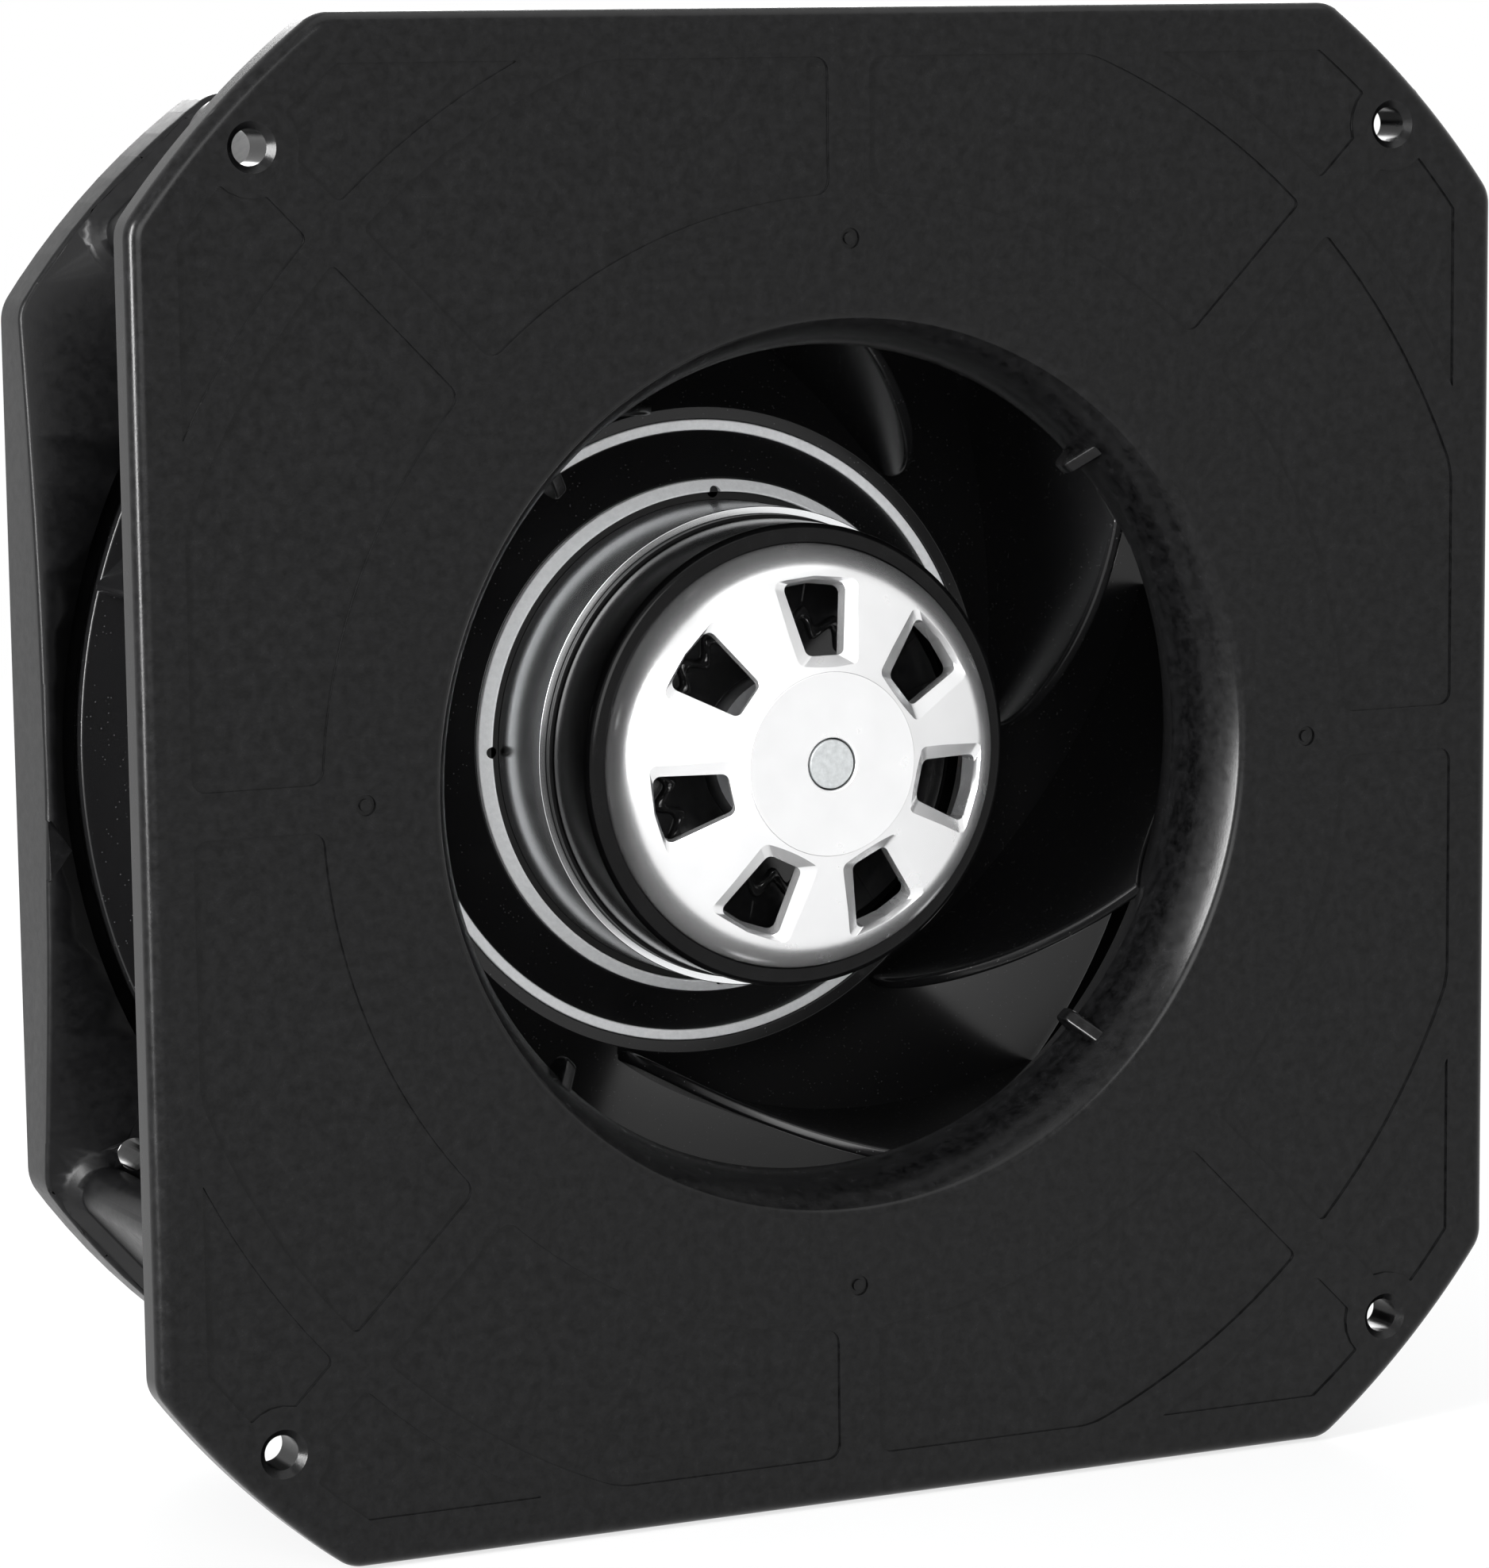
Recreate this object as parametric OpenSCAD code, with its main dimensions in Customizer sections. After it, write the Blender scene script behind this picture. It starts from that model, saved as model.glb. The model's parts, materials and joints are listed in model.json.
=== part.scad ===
// Plug fan on a square inlet plate: backward-curved impeller on an external-rotor motor.
// The fan axis runs along Y. The plate's front face lies at Y = 0 and the air goes in along +Y.
// X is to the right and Z is up, seen from the inlet side. All sizes are in millimetres.

/* [Inlet plate] */
// Width and height of the inlet plate
plate_size = 300; // [292:1:320]
// Depth of the plate's rim
plate_depth = 7.5; // [6:0.5:10]
// Thickness of the plate's face
plate_skin = 3.5; // [3:0.25:4.5]
// Thickness of the plate's rim
rim_wall = 3; // [2.5:0.25:4]
// Rounding of the plate's front edge
edge_round = 3; // [1.5:0.25:3.25]
// Distance between the mounting holes
hole_pitch = 250; // [244:1:254]
// Diameter of the mounting holes
hole_dia = 7; // [5.5:0.1:8]
// Diameter of the chamfer at a mounting hole
hole_chamfer_dia = 9.8; // [9:0.1:11]
// Diameter of the boss around a mounting hole
boss_dia = 19; // [16:0.5:20]
// Distance from the mounting holes to the arcs that cut the plate's corners
corner_reach = 9.7233; // [9.5:0.0001:17]
// Depth of that boss around a mounting hole
boss_depth = 10; // [8.5:0.5:14]

/* [Face panels] */
// Depth of the shallow panels in the plate's face
panel_depth = 0.5; // [0.2:0.1:1]
// Distance from the plate's edge to the panels
panel_inset = 9.7; // [8:0.1:12]
// Width of the ribs between the panels
panel_rib = 9; // [6:0.5:12]
// Inner radius of the large panels
panel_inner_radius = 113.7; // [110:0.1:118]
// Outer radius of the large panels
panel_outer_radius = 150.3; // [146:0.1:152]
// Inner radius of the corner panels
corner_panel_radius = 157; // [155:0.1:162]
// Radius of the circle of the four round marks
mark_circle_radius = 105; // [102:0.5:108]
// Diameter of a round mark
mark_dia = 4.1; // [3:0.1:6]

/* [Nozzle] */
// Radius of the throat at its narrow end
throat_radius = 83.5; // [82:0.1:84]
// Depth of the nozzle
nozzle_depth = 18.5; // [17.5:0.1:19]
// Radius of the nozzle's curve
nozzle_curve_radius = 23.8; // [23:0.1:26]
// Rounding where the nozzle meets the face
mouth_round = 6; // [4:0.5:8]
// Thickness of the nozzle
nozzle_wall = 2; // [1.5:0.1:2.2]
// Thickness of the four fins in the nozzle
fin_thickness = 3; // [2:0.25:4]
// Height of the fins at the throat
fin_height = 4; // [2:0.25:5]

/* [Rear plate] */
// Clearance between the impeller and the recess around it
impeller_gap = 3.8; // [2.5:0.1:4]
// Distance from that recess to the plate's straight edges
rear_rim = 3.5; // [3.25:0.05:9]
// Distance from that recess to the arcs that cut the plate's corners
rear_corner_reach = 31.5; // [30.5:0.1:35]
// Depth of its sloping face at the edge of the recess
rear_face_depth = 100.4; // [99:0.1:102]
// Slope of that face
rear_face_angle = 15.8; // [12:0.1:18]
// Depth of its back edge
rear_back_depth = 121; // [119:0.5:126]
// Thickness of the rear plate's walls
rear_wall = 3; // [2.5:0.25:3.25]
// Depth of the floor that carries the motor
floor_depth = 109; // [108:0.25:110]
// Radius of the motor opening in the floor
motor_opening_radius = 47; // [46:0.25:48]
// Number of ribs behind the floor
floor_rib_count = 12; // [8:1:16]
// Depth of these ribs
floor_rib_depth = 6; // [3:0.5:6]

/* [Posts] */
// Distance from the recess around the impeller to the circle of posts
post_reach = 22; // [20.5:0.25:22.5]
// Width of a post
post_width = 11; // [10.5:0.25:11.5]
// Distance between the round ends of a post
post_span = 25; // [20:0.5:28]
// Turn of the posts from the diagonals
post_turn = -3.3; // [-5:0.1:0]
// Width of the flare at the foot of a post
post_flare = 3.5; // [1:0.25:3.5]
// Diameter of the post screws
post_screw_dia = 4; // [3.5:0.5:4]
// Depth of the seat of a post screw's head
post_seat_depth = 20; // [15:0.5:30]
// Diameter of the holes beside the posts
side_hole_dia = 7; // [5:0.5:8]
// Distance from the recess around the impeller to the circle of these holes
side_hole_reach = 13.1; // [11:0.1:13.5]
// Turn of these holes from the diagonals
side_hole_turn = -9; // [-11:0.25:-8.5]

/* [Impeller] */
// Radius of the impeller
impeller_radius = 126.7; // [124:0.1:127.5]
// Depth of the back disc at its rim
disc_rim_depth = 100; // [98:0.25:101]
// Distance by which the back disc's curve starts in front of the hub's flat ring
disc_step = 0.5; // [0.2:0.1:1]
// Thickness of the back disc
disc_wall = 3; // [2:0.25:4]
// Height of the rim of the back disc
disc_rim_height = 5; // [4:0.25:6]
// Number of blades
blade_count = 7; // [5:1:9]
// Thickness of a blade
blade_thickness = 2.6; // [1.5:0.1:4]
// Radius of a blade's curve
blade_curve_radius = 130.7; // [126:0.1:136]
// Distance from the axis to the centre of a blade's curve
blade_centre_radius = 68.65; // [66:0.05:71]
// Turn of the first blade
blade_turn = 139.4; // [100:0.1:180]
// Radius of the curve of the blades' front edges
lead_curve_radius = 48.45; // [47:0.05:49.5]
// Radius at which that curve is centred
lead_centre_radius = 118; // [117:0.1:119]
// Depth at which that curve is centred
lead_centre_depth = 70.4; // [69:0.1:72]
// Clearance between the nozzle and the shroud's inlet
nozzle_gap = 1.7; // [1.5:0.1:2.5]
// Depth of the shroud's front edge
shroud_front_depth = 14; // [13:0.25:15]
// Distance by which the shroud's curve is centred outside the impeller
shroud_overhang = 5.5; // [3.5:0.25:8.5]
// Thickness of the shroud
shroud_wall = 2.5; // [1.5:0.25:4]
// Outer radius of the bright ring in the hub
insert_radius = 65.5; // [65:0.1:66]
// Width of that ring
insert_width = 2.2; // [1.5:0.1:2.4]
// Width of the flat band between that ring and the disc's curve
hub_band = 2.7; // [2:0.1:3.5]
// Depth of the hub's flat ring
hub_flat_depth = 73; // [72:0.25:73.5]

/* [Rotor] */
// Radius of the black rotor shell
shell_radius = 47.3; // [46.5:0.1:47.6]
// Depth of the shell's front edge
shell_front_depth = 21; // [20:0.25:22]
// Rounding of the shell's front edge
shell_round = 3; // [1:0.25:4]
// Radius of the bright rotor face
face_radius = 42.8; // [42.3:0.1:43]
// Slope of the conical rotor face
face_angle = 32; // [29:0.5:34]
// Thickness of the rotor face
face_wall = 4.5; // [3.5:0.25:5]
// Radius of the flat disc on the rotor face
cap_disc_radius = 18.6; // [17:0.1:19]
// Depth of that disc's front
cap_disc_depth = 9.7; // [9:0.1:9.9]
// Number of windows in the rotor face
window_count = 7; // [5:1:7]
// Radius at which the windows are centred
window_radius = 29; // [28.5:0.1:29.5]
// Length of a window along the slope
window_length = 18.4; // [15:0.1:18.6]
// Width of a window at its outer end
window_outer_width = 15; // [12:0.1:15.5]
// Width of a window at its inner end
window_inner_width = 8.8; // [7:0.1:9]
// Width of the bevel around a window
window_bevel = 2.7; // [1:0.1:2.8]
// Height of the bevel around a window
window_bevel_height = 3; // [1.5:0.1:3.3]
// Depth of the front of the laminated rotor ring
core_front_depth = 41.5; // [41:0.25:42]
// Length of the laminated rings of rotor and stator
core_length = 30.5; // [29:0.25:31]
// Radius of the laminated rotor ring
core_radius = 47.9; // [47.8:0.05:48.2]
// Inner radius of that ring
core_inner_radius = 41.7; // [41.5:0.05:42]
// Depth of the sleeve's front edge
sleeve_front_depth = 43.4; // [42.5:0.1:45]
// Depth of the sleeve's back edge
sleeve_back_depth = 74; // [73:0.25:75]
// Thickness of the sleeve
sleeve_wall = 1.5; // [1:0.1:1.7]
// Radius of the rotor flange
flange_radius = 53.7; // [53:0.1:54.5]
// Depth of the rotor flange's front
flange_front_depth = 62; // [61:0.25:63]
// Thickness of the rotor flange
flange_thickness = 4; // [3.5:0.25:4.25]
// Drop of the rotor flange's conical front
flange_drop = 2; // [1:0.1:2.2]
// Number of notches in the rotor flange
notch_count = 4; // [2:1:8]
// Radius of a notch
notch_radius = 0.9; // [0.5:0.1:1.2]

/* [Shaft and bearings] */
// Radius of the shaft
shaft_radius = 5; // [4.5:0.1:5.5]
// Depth of the shaft's front end
shaft_front_depth = 10; // [9.75:0.05:10.5]
// Length of the shaft
shaft_length = 97; // [94:0.5:100]
// Outer radius of the ball bearings
bearing_radius = 13; // [12.5:0.1:13.5]
// Width of the ball bearings
bearing_width = 8; // [7:0.25:9]
// Depth of the front bearing
front_bearing_depth = 32; // [31:0.25:33]
// Depth of the rear bearing
rear_bearing_depth = 92; // [90:0.25:94]
// Number of balls in a bearing
ball_count = 8; // [6:1:9]
// Radius of a ball
ball_radius = 2.2; // [1.8:0.1:2.3]

/* [Stator] */
// Outer radius of the stator
stator_radius = 41; // [40.5:0.05:41.1]
// Depth of the front of the stator
stator_front_depth = 42; // [41.5:0.25:42.5]
// Number of teeth of the stator
tooth_count = 12; // [9:1:12]
// Width of a tooth
tooth_width = 6.5; // [5:0.25:6.5]
// Outer radius of the stator's yoke
yoke_radius = 23; // [21:0.25:23.5]
// Thickness of the tooth tips
tip_thickness = 3; // [2.5:0.25:3.5]
// Width of the slot between two tips
slot_gap = 3; // [2.5:0.25:4]
// Thickness of the side of a coil
coil_side = 2.4; // [1.5:0.1:2.4]
// Thickness of an end insulator
insulator_thickness = 2.5; // [1.5:0.25:3]
// Thickness of the winding cover
winding_cover_thickness = 2; // [1.5:0.25:3]

/* [Motor carrier and cover] */
// Outer radius of the bearing tube
tube_radius = 16; // [15.5:0.1:16.5]
// Depth of the carrier's disc
carrier_disc_depth = 84; // [82.5:0.25:86]
// Radius of the carrier's foot
carrier_foot_radius = 66; // [65:0.5:70]
// Thickness of the carrier
carrier_wall = 4; // [3:0.25:4.5]
// Radius of the circle of carrier screws
carrier_screw_circle = 60.5; // [60:0.25:62]
// Diameter of the carrier screws
carrier_screw_dia = 4; // [3:0.5:4]
// Radius of the motor cover's dome
cover_radius = 43; // [41:0.5:44]
// Radius of the motor cover's flange
cover_flange_radius = 55; // [54:0.25:55.5]
// Height of the motor cover
cover_height = 14; // [10:0.5:18]
// Thickness of the motor cover
cover_wall = 2.5; // [2:0.25:3]
// Radius of the circle of cover screws
cover_screw_circle = 50.5; // [50.5:0.1:51]
// Diameter of the cover screws
cover_screw_dia = 3; // [2.5:0.5:3]
// Width of the terminal block
terminal_width = 26; // [20:0.5:28]
// Height of the terminal block
terminal_height = 14; // [10:0.5:18]
// Depth of the terminal block
terminal_depth = 11; // [8:0.5:14]
// Radius of the cable hole in the grommet
grommet_bore_radius = 3.2; // [2:0.1:4]
// Thickness of the grommet's wall
grommet_wall = 2.3; // [1.5:0.1:3]

/* [Fits] */
// Clearance between pieces that sit in each other
fit_gap = 0.05; // [0.02:0.01:0.1]
// Clearance between the blades and the disc and shroud that hold them
tip_gap = 0.05; // [0.02:0.01:0.1]

/* [Hidden] */
// A little extra length, so that cuts pass right through
over = 1;
round_steps = 160;
small_steps = 48;
hull_steps = 16;
quarters = [45, 135, 225, 315];

hole_xy = hole_pitch / 2;
corner_radius = norm([hole_xy, hole_xy]) + corner_reach;
nozzle_centre_radius = throat_radius + nozzle_curve_radius;
mouth_blend = 0.12;
mouth_depth = mouth_round - mouth_blend;
mouth_reach = nozzle_curve_radius - mouth_round + mouth_blend;
mouth_drop = nozzle_depth - mouth_depth;
mouth_radius = nozzle_centre_radius - sqrt(pow(mouth_reach, 2) - pow(mouth_drop, 2));
mouth_out = 3 * mouth_round / mouth_reach;
mouth_edge_radius = mouth_radius + mouth_out * (mouth_radius - nozzle_centre_radius);
mouth_edge_depth = mouth_depth - mouth_out * mouth_drop;
nozzle_skirt_radius = nozzle_centre_radius - over;

recess_radius = impeller_radius + impeller_gap;
rear_size = 2 * (recess_radius + rear_rim);
rear_corner_radius = recess_radius + rear_corner_reach;
post_circle_radius = recess_radius + post_reach;
side_hole_radius = recess_radius + side_hole_reach;
floor_back_depth = floor_depth + rear_wall;
seat_wall = 1.5;
seat_radius = post_width / 2 + seat_wall;
post_pilot_rest = 1;
post_pilot_end = plate_skin - post_pilot_rest;
post_flare_start = 0.4;
post_head_height = 4;
screw_head_ratio = 0.88;
screw_socket_ratio = 0.9;
screw_clearance = 0.25;
head_clearance = 0.3;
post_seat_radius = post_screw_dia * screw_head_ratio + head_clearance;
screw_head_height = 3;

disc_start_radius = insert_radius + hub_band;
disc_run = impeller_radius - disc_start_radius;
disc_fall = disc_rim_depth - hub_flat_depth + disc_step;
disc_curve_radius = (pow(disc_run, 2) + pow(disc_fall, 2)) / (2 * disc_fall);
disc_centre_depth = disc_rim_depth - disc_curve_radius;
shroud_inlet_radius = throat_radius + nozzle_wall + nozzle_gap;
shroud_centre_radius = impeller_radius + shroud_overhang;
shroud_curve_radius = shroud_centre_radius - shroud_inlet_radius;
shroud_lip = 2;
shroud_centre_depth = shroud_front_depth + shroud_lip;
hub_groove_depth = 1.5;
hub_lip = 1.6;
flange_groove = 0.9;
hub_bore_radius = core_radius + 2 * fit_gap + sleeve_wall + fit_gap;
flange_back_depth = flange_front_depth + flange_thickness;
hub_back_step = 4;
hub_back_depth = sleeve_back_depth + hub_back_step;

cap_disc_rise = 0.4;
face_drop = tan(face_angle);
face_wall_depth = face_wall / cos(face_angle);
face_edge_depth = cap_disc_depth + cap_disc_rise + (face_radius - cap_disc_radius) * face_drop;
face_skirt_wall = 2;
face_skirt_length = 3;
face_skirt_depth = face_edge_depth + face_wall_depth + face_skirt_length;
face_boss_wall = 4.5;
face_boss_radius = shaft_radius + face_boss_wall;
spacer_length = 4;
face_boss_end = front_bearing_depth - spacer_length;
window_depth = cap_disc_depth + cap_disc_rise + (window_radius - cap_disc_radius) * face_drop;
window_corner = 1.5;
sleeve_inner_radius = core_radius + fit_gap;
sleeve_radius = sleeve_inner_radius + sleeve_wall;
core_back_depth = core_front_depth + core_length;
end_ring_length = 5;

bearing_inner_bore = shaft_radius + fit_gap;
ball_circle_radius = (bearing_radius + shaft_radius) / 2;
race_step = 1.4;
race_inner_radius = ball_circle_radius - race_step;
race_outer_radius = ball_circle_radius + race_step;
ball_gap = 0.15;
groove_radius = ball_radius + ball_gap;
clip_thickness = 1;
clip_depth = rear_bearing_depth + bearing_width;
clip_groove = 0.35;
spring_space = 1.7;
spring_thickness = 0.5;
bearing_seat_radius = bearing_radius + fit_gap;
tube_shoulder = 1.5;
tube_shoulder_radius = bearing_radius - tube_shoulder;

stator_bore = tube_radius + fit_gap;
stator_shortfall = 0.5;
stator_back_depth = stator_front_depth + core_length - stator_shortfall;
tip_inner_radius = stator_radius - tip_thickness;
coil_yoke_gap = 1.5;
coil_tip_gap = 0.5;
coil_inner_radius = yoke_radius + coil_yoke_gap;
coil_outer_radius = tip_inner_radius - coil_tip_gap;
coil_end = 3;
coil_clear = 0.2;
coil_front_depth = stator_front_depth - insulator_thickness - coil_end - coil_clear;
coil_back_depth = stator_back_depth + insulator_thickness + coil_end + coil_clear;
winding_cover_depth = coil_front_depth - winding_cover_thickness - coil_clear;

carrier_reach = 3;
carrier_back_depth = carrier_disc_depth + carrier_wall;
carrier_foot_reach = 4;
carrier_foot_inner_radius = cover_screw_circle + carrier_foot_reach;
carrier_foot_thickness = 5;
carrier_foot_depth = floor_depth - carrier_foot_thickness;
gasket_thickness = 0.8;
cover_flange_depth = floor_back_depth + gasket_thickness;
cover_flange_thickness = 2.5;
cover_back_depth = cover_flange_depth + cover_height;
grommet_offset = 24;
grommet_radius = grommet_bore_radius + grommet_wall;
grommet_lip = 2;

// Turns a shape drawn about Z, with depth along Z, so that its depth runs along Y.
module along_axis() {
  rotate([90, 0, 0]) mirror([0, 0, 1]) children();
}

// Repeats its children around the axis.
module around(count, turn = 0) {
  for (i = [0 : count - 1]) rotate(turn + i * 360 / count) children();
}

// A ring between two radii and two depths.
module ring(inner, outer, front, back) {
  translate([0, 0, front]) difference() {
    cylinder(r = outer, h = back - front, $fn = round_steps);
    translate([0, 0, -over]) cylinder(r = inner, h = back - front + 2 * over, $fn = round_steps);
  }
}

// A circle in the half plane of radius and depth.
module spot(radius, depth, size) {
  translate([radius, depth]) circle(r = size, $fn = round_steps);
}

// A box in the half plane of radius and depth.
module patch(inner, outer, front, back) {
  translate([inner, front]) square([outer - inner, back - front]);
}

// A screw along the axis: its head starts at the seat and its shank runs to the tip.
module screw(dia, seat, tip, head_height) {
  side = seat > tip ? 1 : -1;
  translate([0, 0, min(seat, tip)]) cylinder(d = dia, h = abs(seat - tip), $fn = small_steps);
  translate([0, 0, side > 0 ? seat : seat - head_height]) difference() {
    cylinder(r = dia * screw_head_ratio, h = head_height, $fn = small_steps);
    translate([0, 0, side > 0 ? head_height / 2 : -over])
      cylinder(d = dia * screw_socket_ratio, h = head_height / 2 + over, $fn = 6);
  }
}

// Slab profile of a given width and depth with two rounded front corners.
module slab_profile(width, depth, rounding) {
  translate([-width / 2, rounding]) square([width, depth - rounding]);
  translate([-width / 2 + rounding, 0]) square([width - 2 * rounding, depth]);
  for (side = [-1, 1])
    translate([side * (width / 2 - rounding), rounding]) circle(r = rounding, $fn = small_steps);
}

// Square blank with arc-cut corners and a rounded front edge.
module rounded_blank(size, radius, depth, rounding) {
  intersection() {
    rotate([90, 0, 0]) linear_extrude(2 * size, center = true) slab_profile(size, depth, rounding);
    rotate([90, 0, 90]) linear_extrude(2 * size, center = true) slab_profile(size, depth, rounding);
    rotate_extrude($fn = round_steps) intersection() {
      slab_profile(2 * radius, depth, rounding);
      square([2 * radius, depth]);
    }
  }
}

// Outline of a square with arc-cut corners.
module cut_square(size, radius) {
  intersection() {
    square(size, center = true);
    circle(r = radius, $fn = round_steps);
  }
}

// Places its children at the four mounting holes.
module at_holes() {
  for (x = [-1, 1], y = [-1, 1]) translate([x * hole_xy, y * hole_xy]) children();
}

// Places its children at the posts, with their length along local Y.
module at_posts() {
  for (angle = quarters) rotate(angle + post_turn) translate([post_circle_radius, 0]) children();
}

// Slot outline of a post, widened by a margin.
module post_outline(margin = 0) {
  square([post_width + 2 * margin, post_span], center = true);
  for (side = [-1, 1])
    translate([0, side * post_span / 2]) circle(r = post_width / 2 + margin, $fn = small_steps);
}

// Outlines of the shallow panels in the plate's face.
module face_panels() {
  difference() {
    cut_square(plate_size - 2 * panel_inset, corner_radius - panel_inset);
    circle(r = panel_inner_radius, $fn = round_steps);
    difference() {
      circle(r = corner_panel_radius, $fn = round_steps);
      circle(r = panel_outer_radius, $fn = round_steps);
    }
    for (angle = [0, 45, 90, 135]) rotate(angle) square([2 * plate_size, panel_rib], center = true);
    at_holes() circle(d = boss_dia, $fn = small_steps);
  }
}

// Section of the bell-shaped nozzle.
module nozzle_section() {
  intersection() {
    patch(throat_radius - over, nozzle_skirt_radius, 0, nozzle_depth);
    difference() {
      intersection() {
        spot(nozzle_centre_radius, nozzle_depth, nozzle_curve_radius);
        union() {
          spot(mouth_radius, mouth_depth, mouth_round);
          patch(mouth_radius, nozzle_centre_radius, -over, 2 * nozzle_depth);
          polygon([
            [mouth_radius, mouth_depth],
            [mouth_edge_radius, mouth_edge_depth],
            [0, mouth_edge_depth],
            [0, 2 * nozzle_depth],
            [mouth_radius, 2 * nozzle_depth]
          ]);
        }
      }
      intersection() {
        spot(nozzle_centre_radius, nozzle_depth, nozzle_curve_radius - nozzle_wall);
        patch(0, 2 * nozzle_centre_radius, plate_skin, 2 * nozzle_depth);
      }
    }
  }
}

// One fin on the nozzle: a thin plate with a round nose towards the axis.
module nozzle_fin() {
  nose = fin_height / 2;
  nose_radius = throat_radius - fin_height + nose;
  nose_depth = nozzle_depth - nose;
  translate([0, fin_thickness / 2, 0]) rotate([90, 0, 0]) linear_extrude(fin_thickness) {
    translate([nose_radius, nose_depth]) circle(r = nose, $fn = small_steps);
    polygon([
      [nose_radius - nose, nose_depth],
      [mouth_radius - mouth_round / 2, mouth_round / 3],
      [throat_radius + nozzle_wall / 2, nozzle_depth - over],
      [nose_radius, nozzle_depth]
    ]);
  }
}

module inlet_plate() {
  color("#262829") along_axis() difference() {
    union() {
      difference() {
        rounded_blank(plate_size, corner_radius, plate_depth, edge_round);
        translate([0, 0, plate_skin]) linear_extrude(plate_depth)
          cut_square(plate_size - 2 * rim_wall, corner_radius - rim_wall);
        translate([0, 0, -over])
          cylinder(r = nozzle_skirt_radius - over, h = plate_depth, $fn = round_steps);
      }
      rotate_extrude($fn = round_steps) nozzle_section();
      around(len(quarters), quarters[0]) nozzle_fin();
      difference() {
        at_holes() translate([0, 0, plate_skin / 2])
          cylinder(d = boss_dia, h = boss_depth - plate_skin / 2, $fn = small_steps);
        translate([0, 0, plate_depth]) linear_extrude(boss_depth) at_posts() post_outline(fit_gap);
      }
      translate([0, 0, plate_skin / 2]) linear_extrude(plate_depth - plate_skin / 2)
        at_posts() post_outline(seat_radius - post_width / 2);
    }
    at_holes() {
      translate([0, 0, -over]) cylinder(d = hole_dia, h = boss_depth + 2 * over, $fn = small_steps);
      cylinder(d1 = hole_chamfer_dia, d2 = hole_dia, h = (hole_chamfer_dia - hole_dia) / 2,
               $fn = small_steps);
    }
    translate([0, 0, -over]) linear_extrude(panel_depth + over) face_panels();
    around(4) translate([mark_circle_radius, 0, -over])
      cylinder(d = mark_dia, h = panel_depth + over, $fn = small_steps);
    translate([0, 0, post_pilot_end - fit_gap]) linear_extrude(plate_depth)
      at_posts() circle(d = post_screw_dia + 2 * fit_gap, $fn = small_steps);
  }
}

// Depth of the rear plate's sloping face at a radius.
function slope_depth(radius) = rear_face_depth + (radius - recess_radius) * tan(rear_face_angle);

// Section of everything behind the sloping face, moved back by a margin.
module behind_slope(margin) {
  polygon([
    [0, slope_depth(0) + margin],
    [2 * rear_size, slope_depth(2 * rear_size) + margin],
    [2 * rear_size, 4 * rear_size],
    [0, 4 * rear_size]
  ]);
}

// Ring of the rear plate: a sloping face and an outer wall, open at the back.
module rear_ring() {
  difference() {
    intersection() {
      translate([0, 0, floor_depth / 2]) linear_extrude(rear_back_depth - floor_depth / 2)
        cut_square(rear_size, rear_corner_radius);
      rotate_extrude($fn = round_steps) behind_slope(0);
    }
    intersection() {
      linear_extrude(2 * rear_back_depth)
        cut_square(rear_size - 2 * rear_wall, rear_corner_radius - rear_wall);
      rotate_extrude($fn = round_steps) difference() {
        behind_slope(rear_wall);
        patch(-over, recess_radius + rear_wall, 0, floor_back_depth);
      }
    }
    cylinder(r = recess_radius, h = floor_depth, $fn = round_steps);
  }
}

// Flare at the foot of a post, square to the sloping face and sunk halfway into it.
module post_flare_body() {
  height = post_flare + rear_wall / 2;
  narrow = post_width / 2 - post_flare_start;
  wide = narrow + height;
  translate([0, 0, slope_depth(post_circle_radius)]) rotate([0, -rear_face_angle, 0])
    translate([0, 0, -post_flare]) {
      for (side = [-1, 1]) translate([0, side * post_span / 2])
        cylinder(r1 = narrow, r2 = wide, h = height, $fn = small_steps);
      rotate([90, 0, 0]) linear_extrude(post_span, center = true)
        polygon([[-narrow, 0], [narrow, 0], [wide, height], [-wide, height]]);
    }
}

// A post that runs from the back of the inlet plate into the sloping face.
module post_body() {
  foot = slope_depth(post_circle_radius - post_width / 2) + rear_wall;
  translate([0, 0, plate_depth]) linear_extrude(foot - plate_depth) post_outline();
  post_flare_body();
}

// Places its children at the holes beside the posts.
module at_side_holes() {
  for (angle = quarters) rotate(angle + side_hole_turn) translate([side_hole_radius, 0]) children();
}

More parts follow.
